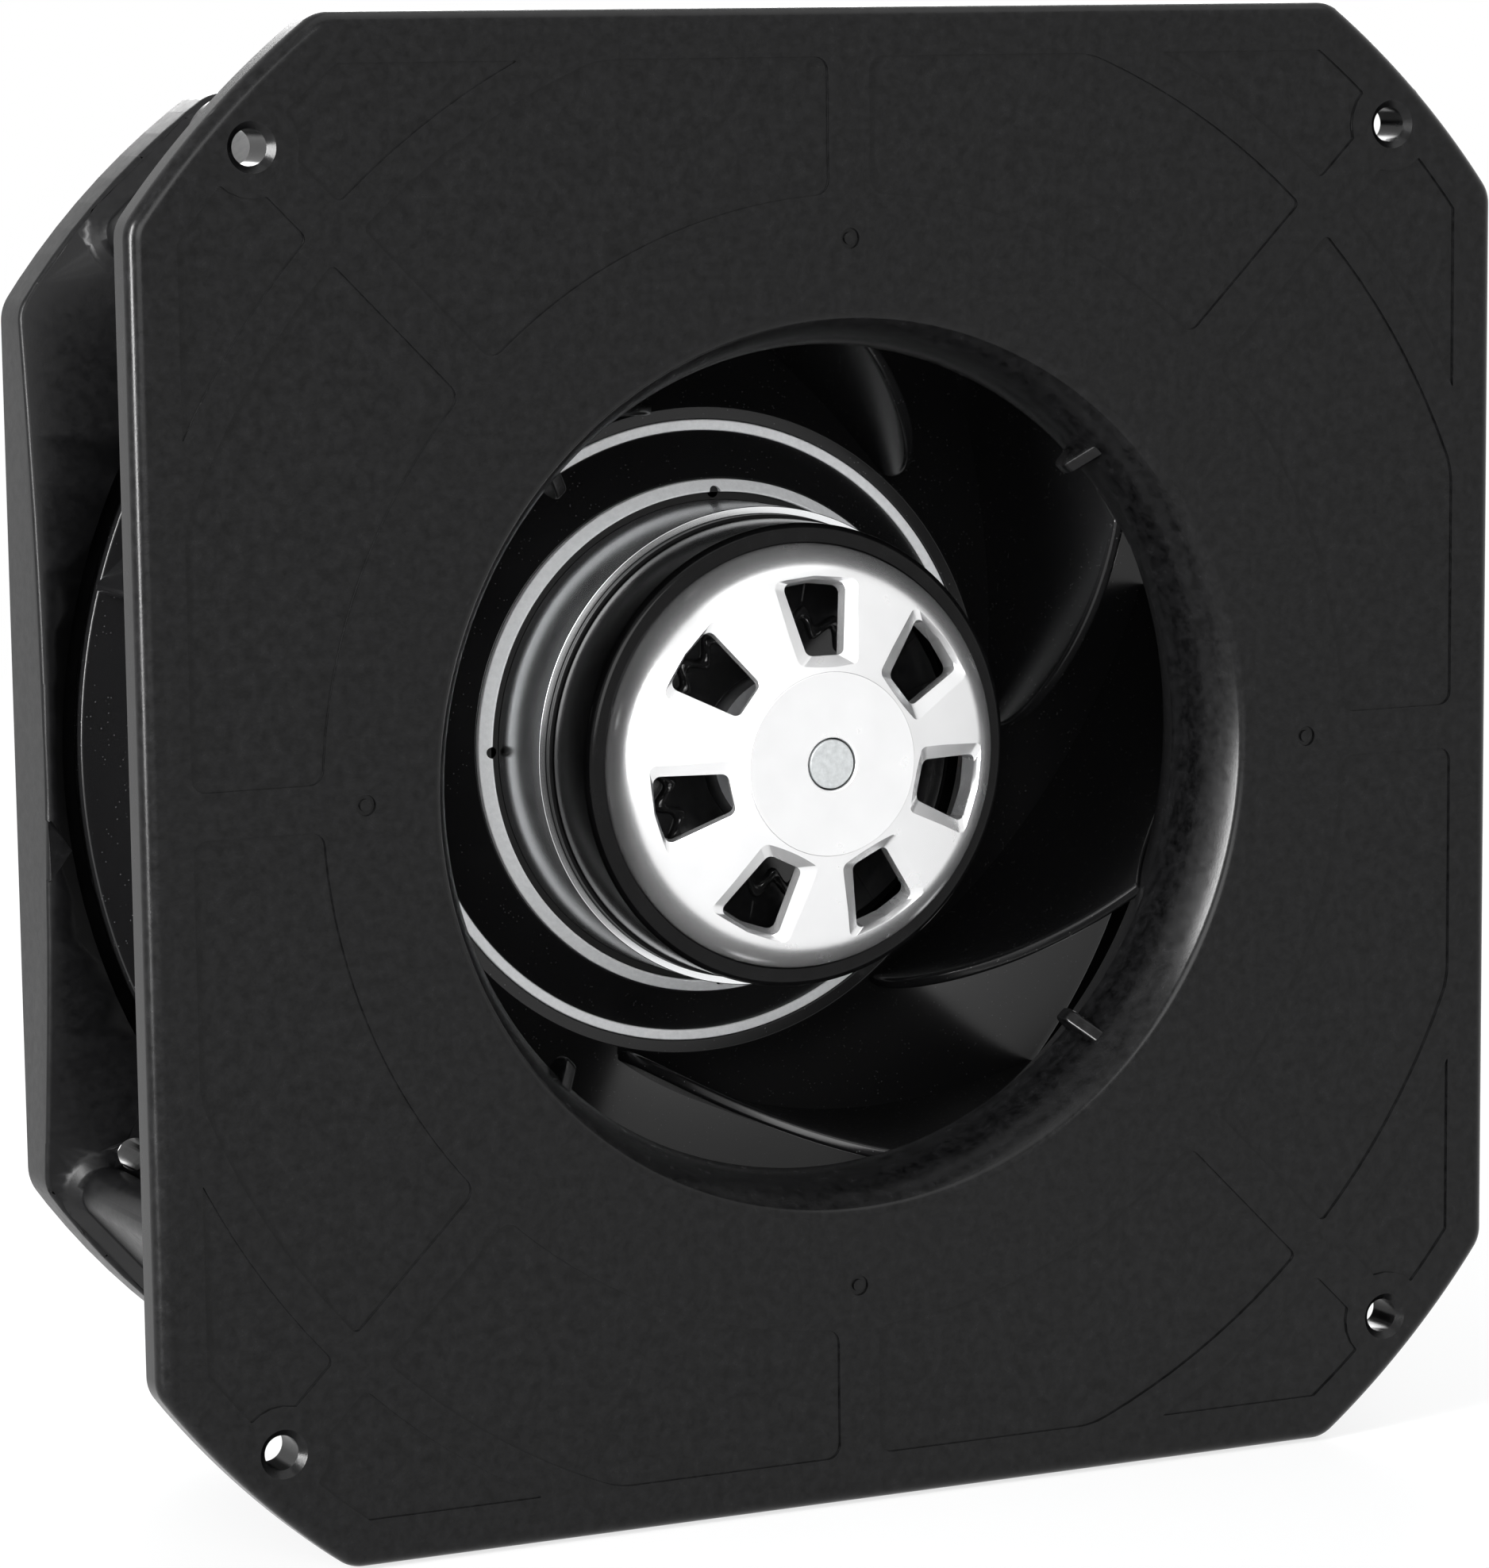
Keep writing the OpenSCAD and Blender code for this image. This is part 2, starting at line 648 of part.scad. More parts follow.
module rear_plate() {
  color("#1c1d1e") along_axis() difference() {
    union() {
      rear_ring();
      intersection() {
        at_posts() post_body();
        linear_extrude(rear_back_depth) cut_square(rear_size, rear_corner_radius);
      }
      intersection() {
        linear_extrude(rear_back_depth) {
          at_posts() circle(d = post_width, $fn = small_steps);
          at_side_holes() circle(d = side_hole_dia + rear_wall, $fn = small_steps);
        }
        rotate_extrude($fn = round_steps) behind_slope(rear_wall / 2);
        linear_extrude(rear_back_depth) cut_square(rear_size, rear_corner_radius);
      }
      translate([0, 0, floor_back_depth - over]) intersection() {
        around(floor_rib_count) translate([carrier_foot_radius, -rear_wall / 2, 0])
          cube([recess_radius + over - carrier_foot_radius, rear_wall, floor_rib_depth + over]);
        cylinder(r = recess_radius + over, h = floor_rib_depth + over, $fn = round_steps);
      }
    }
    translate([0, 0, floor_depth - over])
      cylinder(r = motor_opening_radius, h = rear_wall + 2 * over, $fn = round_steps);
    at_posts() {
      cylinder(d = post_screw_dia + 2 * screw_clearance, h = rear_back_depth, $fn = small_steps);
      translate([0, 0, post_seat_depth])
        cylinder(r = post_seat_radius, h = rear_back_depth, $fn = small_steps);
    }
    at_side_holes() translate([0, 0, floor_depth / 2])
      cylinder(d = side_hole_dia, h = rear_back_depth, $fn = small_steps);
    around(4, quarters[0]) translate([carrier_screw_circle, 0, floor_depth - over])
      cylinder(d = carrier_screw_dia + 2 * fit_gap, h = rear_wall + 2 * over, $fn = small_steps);
    around(4) translate([cover_screw_circle, 0, floor_depth - over])
      cylinder(d = cover_screw_dia + 2 * fit_gap, h = rear_wall + 2 * over, $fn = small_steps);
  }
}

module post_screws() {
  color("#9a9ea2") along_axis() at_posts()
    screw(post_screw_dia, post_seat_depth, post_pilot_end, post_head_height);
}

// Section of the motor carrier: bearing tube, disc, cone and foot.
module carrier_section() {
  difference() {
    polygon([
      [tube_shoulder_radius, front_bearing_depth - over],
      [tube_radius, front_bearing_depth - over],
      [tube_radius, carrier_disc_depth],
      [stator_radius + carrier_reach, carrier_disc_depth],
      [carrier_foot_inner_radius + over, carrier_foot_depth],
      [carrier_foot_radius, carrier_foot_depth],
      [carrier_foot_radius, floor_depth],
      [carrier_foot_inner_radius, floor_depth],
      [stator_radius, carrier_back_depth],
      [tube_radius + over, carrier_back_depth],
      [tube_radius + over, rear_bearing_depth + bearing_width + carrier_wall],
      [tube_shoulder_radius, rear_bearing_depth + bearing_width + carrier_wall]
    ]);
    patch(0, bearing_seat_radius, 0, front_bearing_depth + bearing_width + spring_space);
    patch(0, bearing_seat_radius, rear_bearing_depth, rear_back_depth);
  }
}

module motor_carrier() {
  color("#b4b7ba") along_axis() difference() {
    rotate_extrude($fn = round_steps) carrier_section();
    around(4, quarters[0]) translate([carrier_screw_circle, 0, carrier_foot_depth - over])
      cylinder(d = carrier_screw_dia + 2 * fit_gap, h = rear_wall * 3, $fn = small_steps);
  }
}

module carrier_screws() {
  color("#9a9ea2") along_axis() around(4, quarters[0]) translate([carrier_screw_circle, 0])
    screw(carrier_screw_dia, floor_back_depth, carrier_foot_depth + over / 2, screw_head_height);
}

// Outline of the stator stack: yoke, teeth and tips.
module stator_outline(margin = 0) {
  difference() {
    union() {
      circle(r = yoke_radius, $fn = round_steps);
      around(tooth_count) translate([0, -tooth_width / 2])
        square([stator_radius - tip_thickness / 2, tooth_width]);
      difference() {
        circle(r = stator_radius, $fn = round_steps);
        circle(r = tip_inner_radius, $fn = round_steps);
        around(tooth_count, 180 / tooth_count) translate([0, -slot_gap / 2])
          square([2 * stator_radius, slot_gap]);
      }
    }
    circle(r = stator_bore + margin, $fn = round_steps);
  }
}

module stator_core() {
  color("#7d8084") along_axis() translate([0, 0, stator_front_depth])
    linear_extrude(stator_back_depth - stator_front_depth) stator_outline();
}

module front_insulator() {
  color("#191a1b") along_axis() translate([0, 0, stator_front_depth - insulator_thickness])
    linear_extrude(insulator_thickness) stator_outline(over);
}

module rear_insulator() {
  color("#191a1b") along_axis() translate([0, 0, stator_back_depth])
    linear_extrude(insulator_thickness) stator_outline(over);
}

module stator_coils() {
  half_hole = tooth_width / 2 + coil_clear;
  half_coil = half_hole + coil_side - coil_clear;
  color("#8a4a24") along_axis() around(tooth_count) difference() {
    translate([coil_inner_radius, -half_coil, coil_front_depth])
      cube([coil_outer_radius - coil_inner_radius, 2 * half_coil, coil_back_depth - coil_front_depth]);
    translate([coil_inner_radius - over, -half_hole, coil_front_depth + coil_end])
      cube([
        coil_outer_radius - coil_inner_radius + 2 * over,
        2 * half_hole,
        coil_back_depth - coil_front_depth - 2 * coil_end
      ]);
  }
}

module winding_cover() {
  color("#1b1c1d") along_axis() {
    ring(tube_radius + over, tip_inner_radius + over, winding_cover_depth,
         winding_cover_depth + winding_cover_thickness);
    ring(tube_radius + over, tube_radius + 3 * over, winding_cover_depth,
         stator_front_depth - insulator_thickness);
  }
}

// Runs its children at the depths of both bearings.
module at_bearings() {
  for (depth = [front_bearing_depth, rear_bearing_depth]) translate([0, 0, depth]) children();
}

// Groove that the balls run in.
module ball_groove() {
  translate([0, 0, bearing_width / 2]) rotate_extrude($fn = round_steps)
    translate([ball_circle_radius, 0]) circle(r = groove_radius, $fn = small_steps);
}

module bearing_outer_rings() {
  color("#a7abaf") along_axis() at_bearings() difference() {
    ring(race_outer_radius, bearing_radius, 0, bearing_width);
    ball_groove();
  }
}

module bearing_inner_rings() {
  color("#a7abaf") along_axis() at_bearings() difference() {
    ring(bearing_inner_bore, race_inner_radius, 0, bearing_width);
    ball_groove();
  }
}

module bearing_balls() {
  color("#d0d3d6") along_axis() at_bearings() around(ball_count)
    translate([ball_circle_radius, 0, bearing_width / 2]) sphere(r = ball_radius, $fn = small_steps);
}

// Points of one section of the waved spring at an angle.
function spring_section(angle, wave) = [
  for (corner = [[0, 0], [1, 0], [1, 1], [0, 1]])
    let (radius = corner[0] == 0 ? tube_shoulder_radius + 0.2 : bearing_radius - 0.2)
    [radius * cos(angle), radius * sin(angle), wave + corner[1] * spring_thickness]
];

module preload_spring() {
  steps = 48;
  waves = 3;
  rise = (spring_space - spring_thickness - 2 * fit_gap) / 2;
  middle = front_bearing_depth + bearing_width + fit_gap + rise;
  points = [
    for (i = [0 : steps - 1])
      each spring_section(i * 360 / steps, middle + rise * sin(waves * i * 360 / steps))
  ];
  faces = [
    for (i = [0 : steps - 1], k = [0 : 3])
      let (next = (i + 1) % steps, side = (k + 1) % 4)
      [4 * i + k, 4 * i + side, 4 * next + side, 4 * next + k]
  ];
  color("#c3c6c9") along_axis() polyhedron(points, faces, convexity = 4);
}

module terminal_block() {
  size = [terminal_width, terminal_height, terminal_depth];
  ways = 3;
  way_pitch = terminal_width / (ways + 0.25);
  color("#d8d9d6") along_axis()
    translate([0, tube_radius + 2 * over + size[1] / 2, carrier_back_depth]) difference() {
      translate([-size[0] / 2, -size[1] / 2, 0]) cube(size);
      for (way = [-1, 0, 1]) translate([way * way_pitch, 0, size[2] / 2])
        cylinder(d = way_pitch / 2, h = size[2], $fn = small_steps);
    }
}

module cover_gasket() {
  color("#2b2b2b") along_axis() difference() {
    ring(motor_opening_radius, cover_flange_radius - over, floor_back_depth, cover_flange_depth);
    around(4) translate([cover_screw_circle, 0, floor_back_depth - over])
      cylinder(d = cover_screw_dia + 2 * fit_gap, h = gasket_thickness + 2 * over, $fn = small_steps);
  }
}

// Section of the motor cover: flange, wall with a rounded edge and end.
module cover_section() {
  outer_round = 2 * cover_wall;
  patch(cover_radius - cover_wall, cover_flange_radius, cover_flange_depth,
        cover_flange_depth + cover_flange_thickness);
  patch(cover_radius - cover_wall, cover_radius, cover_flange_depth, cover_back_depth - outer_round);
  patch(0, cover_radius - outer_round, cover_back_depth - cover_wall, cover_back_depth);
  intersection() {
    difference() {
      spot(cover_radius - outer_round, cover_back_depth - outer_round, outer_round);
      spot(cover_radius - outer_round, cover_back_depth - outer_round, outer_round - cover_wall);
    }
    patch(cover_radius - outer_round, cover_radius, cover_back_depth - outer_round, cover_back_depth);
  }
}

module motor_cover() {
  color("#1f2021") along_axis() difference() {
    rotate_extrude($fn = round_steps) cover_section();
    around(4) translate([cover_screw_circle, 0, cover_flange_depth - over])
      cylinder(d = cover_screw_dia + 2 * fit_gap, h = cover_flange_thickness + 2 * over, $fn = small_steps);
    translate([0, -grommet_offset, cover_flange_depth])
      cylinder(r = grommet_radius + fit_gap, h = cover_height + over, $fn = small_steps);
  }
}

module cover_screws() {
  seat = cover_flange_depth + cover_flange_thickness;
  color("#9a9ea2") along_axis() around(4) translate([cover_screw_circle, 0])
    screw(cover_screw_dia, seat, floor_depth - over / 2, screw_head_height * 0.75);
}

module cable_grommet() {
  color("#141414") along_axis() translate([0, -grommet_offset, 0]) difference() {
    union() {
      translate([0, 0, cover_back_depth - cover_wall - grommet_lip])
        cylinder(r = grommet_radius, h = cover_wall + 2 * grommet_lip, $fn = small_steps);
      translate([0, 0, cover_back_depth])
        cylinder(r1 = grommet_radius + grommet_lip, r2 = grommet_radius, h = grommet_lip, $fn = small_steps);
      translate([0, 0, cover_back_depth - cover_wall - grommet_lip])
        cylinder(r1 = grommet_radius, r2 = grommet_radius + grommet_lip, h = grommet_lip, $fn = small_steps);
    }
    cylinder(r = grommet_bore_radius, h = 2 * rear_back_depth, $fn = small_steps);
  }
}

// Corner centres of a window's outline, going round, with a margin.
function window_corners(margin) =
  let (
    half_length = window_length / 2 + margin - window_corner,
    half_inner = window_inner_width / 2 + margin - window_corner,
    half_outer = window_outer_width / 2 + margin - window_corner
  )
  [
    [-half_length, -half_inner],
    [half_length, -half_outer],
    [half_length, half_outer],
    [-half_length, half_inner]
  ];

// Outward normal of the edge between two corners that go round to the left.
function edge_normal(from, to) = [to[1] - from[1], from[0] - to[0]] / norm(to - from);

// Outline with round corners about the given centres.
module round_outline(centres, radius) {
  count = len(centres);
  polygon([
    for (i = [0 : count - 1], end = [0, 1])
      let (from = centres[i], to = centres[(i + 1) % count])
      (end == 0 ? from : to) + radius * edge_normal(from, to)
  ]);
  for (centre = centres) translate(centre) circle(r = radius, $fn = small_steps);
}

// Corner posts of a window's outline at one level of its bevel.
module window_level(margin, level) {
  for (centre = window_corners(margin)) translate([centre[0], centre[1], level])
    cylinder(r = window_corner, h = 0.01, $fn = hull_steps);
}

// Cutter of one window, square to the cone: bevelled flanks, then straight walls.
module window_cutter() {
  rise = 3;
  slope = window_bevel / window_bevel_height;
  translate([window_radius, 0, window_depth]) rotate([0, -face_angle, 0]) {
    hull() {
      window_level(window_bevel + slope * rise, -rise);
      window_level(0, window_bevel_height);
    }
    linear_extrude(2 * face_wall) round_outline(window_corners(0), window_corner);
  }
}

// Section of the rotor face: flat disc, cone, skirt and boss.
module face_section() {
  cone_start = cap_disc_depth + cap_disc_rise;
  cone_inner_end = face_edge_depth + face_wall_depth - face_skirt_wall * face_drop;
  polygon([
    [0, cap_disc_depth],
    [cap_disc_radius, cap_disc_depth],
    [cap_disc_radius, cone_start],
    [face_radius, face_edge_depth],
    [face_radius, face_skirt_depth],
    [face_radius - face_skirt_wall, face_skirt_depth],
    [face_radius - face_skirt_wall, cone_inner_end],
    [cap_disc_radius, cone_start + face_wall_depth],
    [face_boss_radius, cone_start + face_wall_depth],
    [face_boss_radius, face_boss_end],
    [0, face_boss_end]
  ]);
}

module rotor_face() {
  color("#d9dbdc") along_axis() difference() {
    rotate_extrude($fn = round_steps) face_section();
    cylinder(r = shaft_radius + fit_gap, h = face_boss_end + over, $fn = round_steps);
    around(window_count, 90) window_cutter();
  }
}

// Section of the rotor shell: a tube with a rounded front edge.
module shell_section() {
  inner = face_radius + fit_gap;
  patch(inner, shell_radius, shell_front_depth + shell_round, core_front_depth);
  patch(inner, shell_radius - shell_round, shell_front_depth, core_front_depth);
  intersection() {
    spot(shell_radius - shell_round, shell_front_depth + shell_round, shell_round);
    patch(inner, shell_radius, shell_front_depth, core_front_depth);
  }
}

module rotor_shell() {
  color("#1a1b1c") along_axis() rotate_extrude($fn = round_steps) shell_section();
}

module rotor_core() {
  color("#5d6064") along_axis() ring(core_inner_radius, core_radius, core_front_depth, core_back_depth);
}

module cage_end_ring() {
  color("#c9ccce") along_axis()
    ring(core_inner_radius + 0.5, core_radius - 0.5, core_back_depth, core_back_depth + end_ring_length);
}

module rotor_sleeve() {
  color("#c4c8ca") along_axis()
    ring(sleeve_inner_radius, sleeve_radius, sleeve_front_depth, sleeve_back_depth);
}

// Section of the rotor flange: a ring with a conical front and a groove at its bore.
module flange_section() {
  polygon([
    [sleeve_radius + fit_gap, flange_front_depth + flange_drop],
    [sleeve_radius + flange_groove, flange_front_depth + flange_drop],
    [sleeve_radius + flange_groove, flange_front_depth],
    [flange_radius, flange_front_depth + flange_drop],
    [flange_radius, flange_back_depth],
    [sleeve_radius + fit_gap, flange_back_depth]
  ]);
}

module rotor_flange() {
  color("#ccd0d1") along_axis() difference() {
    rotate_extrude($fn = round_steps) flange_section();
    around(notch_count) translate([sleeve_radius + flange_groove, 0, flange_front_depth - over])
      cylinder(r = notch_radius, h = flange_thickness / 2 + over, $fn = small_steps);
  }
}

module shaft() {
  color("#b9bdc0") along_axis() difference() {
    translate([0, 0, shaft_front_depth]) cylinder(r = shaft_radius, h = shaft_length, $fn = round_steps);
    ring(shaft_radius - clip_groove, shaft_radius + over, clip_depth, clip_depth + clip_thickness);
  }
}

module shaft_spacer() {
  color("#b9bdc0") along_axis()
    ring(shaft_radius + fit_gap, race_inner_radius - 0.5, face_boss_end, front_bearing_depth);
}

module shaft_clip() {
  clip_gap = 5;
  color("#6d7074") along_axis() difference() {
    ring(shaft_radius - clip_groove + fit_gap, race_inner_radius - 0.2, clip_depth,
         clip_depth + clip_thickness);
    translate([0, -clip_gap / 2, clip_depth - over])
      cube([2 * shaft_radius, clip_gap, 2 * clip_thickness + over]);
  }
}

// Section of the impeller's hub and back disc.
module disc_section() {
  insert_inner = insert_radius - insert_width - fit_gap;
  polygon([
    [hub_bore_radius, flange_back_depth],
    [flange_radius + fit_gap, flange_back_depth],
    [flange_radius + fit_gap, flange_back_depth - hub_lip],
    [insert_inner, hub_flat_depth],
    [insert_inner, hub_flat_depth + hub_groove_depth],
    [insert_radius + fit_gap, hub_flat_depth + hub_groove_depth],
    [insert_radius + fit_gap, hub_flat_depth],
    [disc_start_radius + over, hub_flat_depth],
    [disc_start_radius + 2 * over, hub_back_depth + 2 * over],
    [insert_inner, hub_back_depth + over],
    [hub_bore_radius, sleeve_back_depth]
  ]);
  intersection() {
    difference() {
      spot(impeller_radius, disc_centre_depth, disc_curve_radius + disc_wall);
      spot(impeller_radius, disc_centre_depth, disc_curve_radius);
    }
    patch(disc_start_radius, impeller_radius, disc_centre_depth, disc_rim_depth + disc_wall);
  }
  patch(impeller_radius - disc_rim_height / 2, impeller_radius, disc_rim_depth,
        disc_rim_depth + disc_rim_height);
}

// Section of the space that a blade fills: behind the shroud, in front of the disc,
// and outside the curve of the front edges.
module blade_section() {
  intersection() {
    patch(disc_start_radius, impeller_radius, shroud_front_depth, disc_rim_depth - tip_gap);
    spot(impeller_radius, disc_centre_depth, disc_curve_radius - tip_gap);
    difference() {
      spot(lead_centre_radius, lead_centre_depth, lead_curve_radius);
      spot(shroud_centre_radius, shroud_centre_depth, shroud_curve_radius + tip_gap);
    }
  }
}

// Plan of one blade: a stretch of a circular arc with an even thickness.
module blade_plan() {
  reach = 2 * impeller_radius;
  intersection() {
    translate([blade_centre_radius, 0]) difference() {
      circle(r = blade_curve_radius + blade_thickness / 2, $fn = round_steps);
      circle(r = blade_curve_radius - blade_thickness / 2, $fn = round_steps);
    }
    translate([-reach, -reach]) square([2 * reach, reach]);
  }
}

module impeller_disc() {
  color("#1d1e1f") along_axis() rotate_extrude($fn = round_steps) disc_section();
}

module impeller_blades() {
  color("#1d1e1f") along_axis() intersection() {
    linear_extrude(2 * rear_back_depth) around(blade_count, blade_turn) blade_plan();
    rotate_extrude($fn = round_steps) blade_section();
  }
}

module hub_ring() {
  color("#ccd0d1") along_axis()
    ring(insert_radius - insert_width, insert_radius, hub_flat_depth, hub_flat_depth + hub_groove_depth);
}

module impeller_shroud() {
  color("#1d1e1f") along_axis() rotate_extrude($fn = round_steps) intersection() {
    difference() {
      spot(shroud_centre_radius, shroud_centre_depth, shroud_curve_radius);
      spot(shroud_centre_radius, shroud_centre_depth, shroud_curve_radius - shroud_wall);
    }
    patch(shroud_inlet_radius, impeller_radius, shroud_front_depth, disc_rim_depth);
  }
}

inlet_plate();
rear_plate();
post_screws();
motor_carrier();
carrier_screws();
stator_core();
front_insulator();
rear_insulator();
stator_coils();
winding_cover();
bearing_outer_rings();
bearing_balls();
preload_spring();
terminal_block();
cover_gasket();
motor_cover();
cover_screws();
cable_grommet();
rotor_face();
rotor_shell();
rotor_core();
cage_end_ring();
rotor_sleeve();
rotor_flange();
shaft();
shaft_spacer();
bearing_inner_rings();
shaft_clip();
impeller_disc();
impeller_blades();
hub_ring();
impeller_shroud();
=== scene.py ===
"""Looks of a plug fan: square inlet plate with a bell nozzle, impeller, external rotor and rear plate."""
import json
import logging
import math
from dataclasses import dataclass, field
from enum import Enum
from typing import Callable, Iterable, Optional, Union

import bpy
from mathutils import Matrix, Vector


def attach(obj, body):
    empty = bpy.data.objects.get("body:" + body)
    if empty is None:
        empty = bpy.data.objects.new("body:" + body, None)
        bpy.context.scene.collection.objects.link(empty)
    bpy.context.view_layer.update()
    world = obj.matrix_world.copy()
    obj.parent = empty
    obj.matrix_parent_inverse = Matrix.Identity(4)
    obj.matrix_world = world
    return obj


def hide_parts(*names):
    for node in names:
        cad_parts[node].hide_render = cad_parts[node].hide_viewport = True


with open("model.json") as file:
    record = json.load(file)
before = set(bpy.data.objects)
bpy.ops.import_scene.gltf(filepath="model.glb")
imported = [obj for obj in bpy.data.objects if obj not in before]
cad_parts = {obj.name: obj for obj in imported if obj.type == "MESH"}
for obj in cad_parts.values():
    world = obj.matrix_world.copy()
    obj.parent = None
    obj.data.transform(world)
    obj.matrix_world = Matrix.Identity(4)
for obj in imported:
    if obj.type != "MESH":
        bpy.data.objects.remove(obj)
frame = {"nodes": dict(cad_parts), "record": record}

MM = 0.001
LOG = logging.getLogger("plug_fan")
TURN_STEPS = 224
MERGE = 0.002
LEVEL = 0.01
SHORTEST_SIDE = 1e-6
NEARLY_STRAIGHT = 0.02
FILLET_SHARE = 0.49
Point = tuple[float, float]
Corner = tuple[float, float, float]
Fillets = tuple[float, float, float, float]
Colour = tuple[float, float, float]
EdgeRule = Callable[[Vector, Vector, float], bool]
Route = tuple[bpy.types.Node, str, bpy.types.Node, Union[str, int]]
Group = tuple[bpy.types.NodeTree, bpy.types.Node, bpy.types.Node, bpy.types.Node]


class Body(Enum):
    """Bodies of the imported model."""

    FRAME = "frame"
    ROTOR = "rotor"


class Cut(Enum):
    """Operations of the Boolean modifier."""

    TAKE = "DIFFERENCE"
    ADD = "UNION"
    KEEP = "INTERSECT"


def arc(centre: Point, radius: float, start: float, end: float, steps: int) -> list[Point]:
    """Points on a circular arc in the half plane of radius and depth.

    Args:
        centre: Radius and depth of the arc's centre, in millimetres.
        radius: Radius of the arc.
        start: Angle of the first point, in degrees from the radial direction.
        end: Angle of the last point.
        steps: Number of chords.

    Returns:
        The points from the start to the end.
    """
    points = []
    for i in range(steps + 1):
        angle = math.radians(start + (end - start) * i / steps)
        points.append((centre[0] + radius * math.cos(angle), centre[1] + radius * math.sin(angle)))
    return points


def on_circle(centre: Point, radius: float, angle: float) -> Vector:
    """A point on a circle in the half plane of radius and depth.

    Args:
        centre: Radius and depth of the circle's centre, in millimetres.
        radius: Radius of the circle.
        angle: Angle of the point, in degrees from the radial direction.

    Returns:
        Radius and depth of the point.
    """
    turn = math.radians(angle)
    return Vector((centre[0] + radius * math.cos(turn), centre[1] + radius * math.sin(turn)))


def angle_on(centre: Point, point: Vector) -> float:
    """The angle at which a point is seen from a centre.

    Args:
        centre: Radius and depth of the centre.
        point: Radius and depth of the point.

    Returns:
        The angle from the radial direction, in degrees from 0 to 360.
    """
    return math.degrees(math.atan2(point.y - centre[1], point.x - centre[0])) % 360


def rounded(corners: Iterable[Corner], steps: int) -> list[Point]:
    """A closed outline with a fillet at each corner that states one.

    Args:
        corners: Each corner's two coordinates and its fillet radius; 0 leaves it sharp.
        steps: Number of chords in a fillet.

    Returns:
        The outline's points, in order.
    """
    corners = list(corners)
    points: list[Point] = []
    for i, (x, y, radius) in enumerate(corners):
        here = Vector((x, y))
        before = Vector(corners[i - 1][:2]) - here
        after = Vector(corners[(i + 1) % len(corners)][:2]) - here
        if radius <= 0 or min(before.length, after.length) < SHORTEST_SIDE:
            points.append((x, y))
            continue
        half = before.angle(after) / 2
        if half > math.pi / 2 - NEARLY_STRAIGHT:
            points.append((x, y))
            continue
        reach = min(radius / math.tan(half), FILLET_SHARE * before.length, FILLET_SHARE * after.length)
        radius = reach * math.tan(half)
        inwards = (before.normalized() + after.normalized()).normalized()
        middle = here + inwards * (radius / math.sin(half))
        first = here + before.normalized() * reach - middle
        last = here + after.normalized() * reach - middle
        turn = first.angle_signed(last)
        for k in range(steps + 1):
            arm = first.copy()
            arm.rotate(Matrix.Rotation(-turn * k / steps, 2))
            points.append(tuple(middle + arm))
    return points


def sharp(points: Iterable[Point]) -> list[Corner]:
    """Points as corners without fillets.

    Args:
        points: The points.

    Returns:
        The same points with a fillet radius of 0.
    """
    return [(x, y, 0.0) for x, y in points]


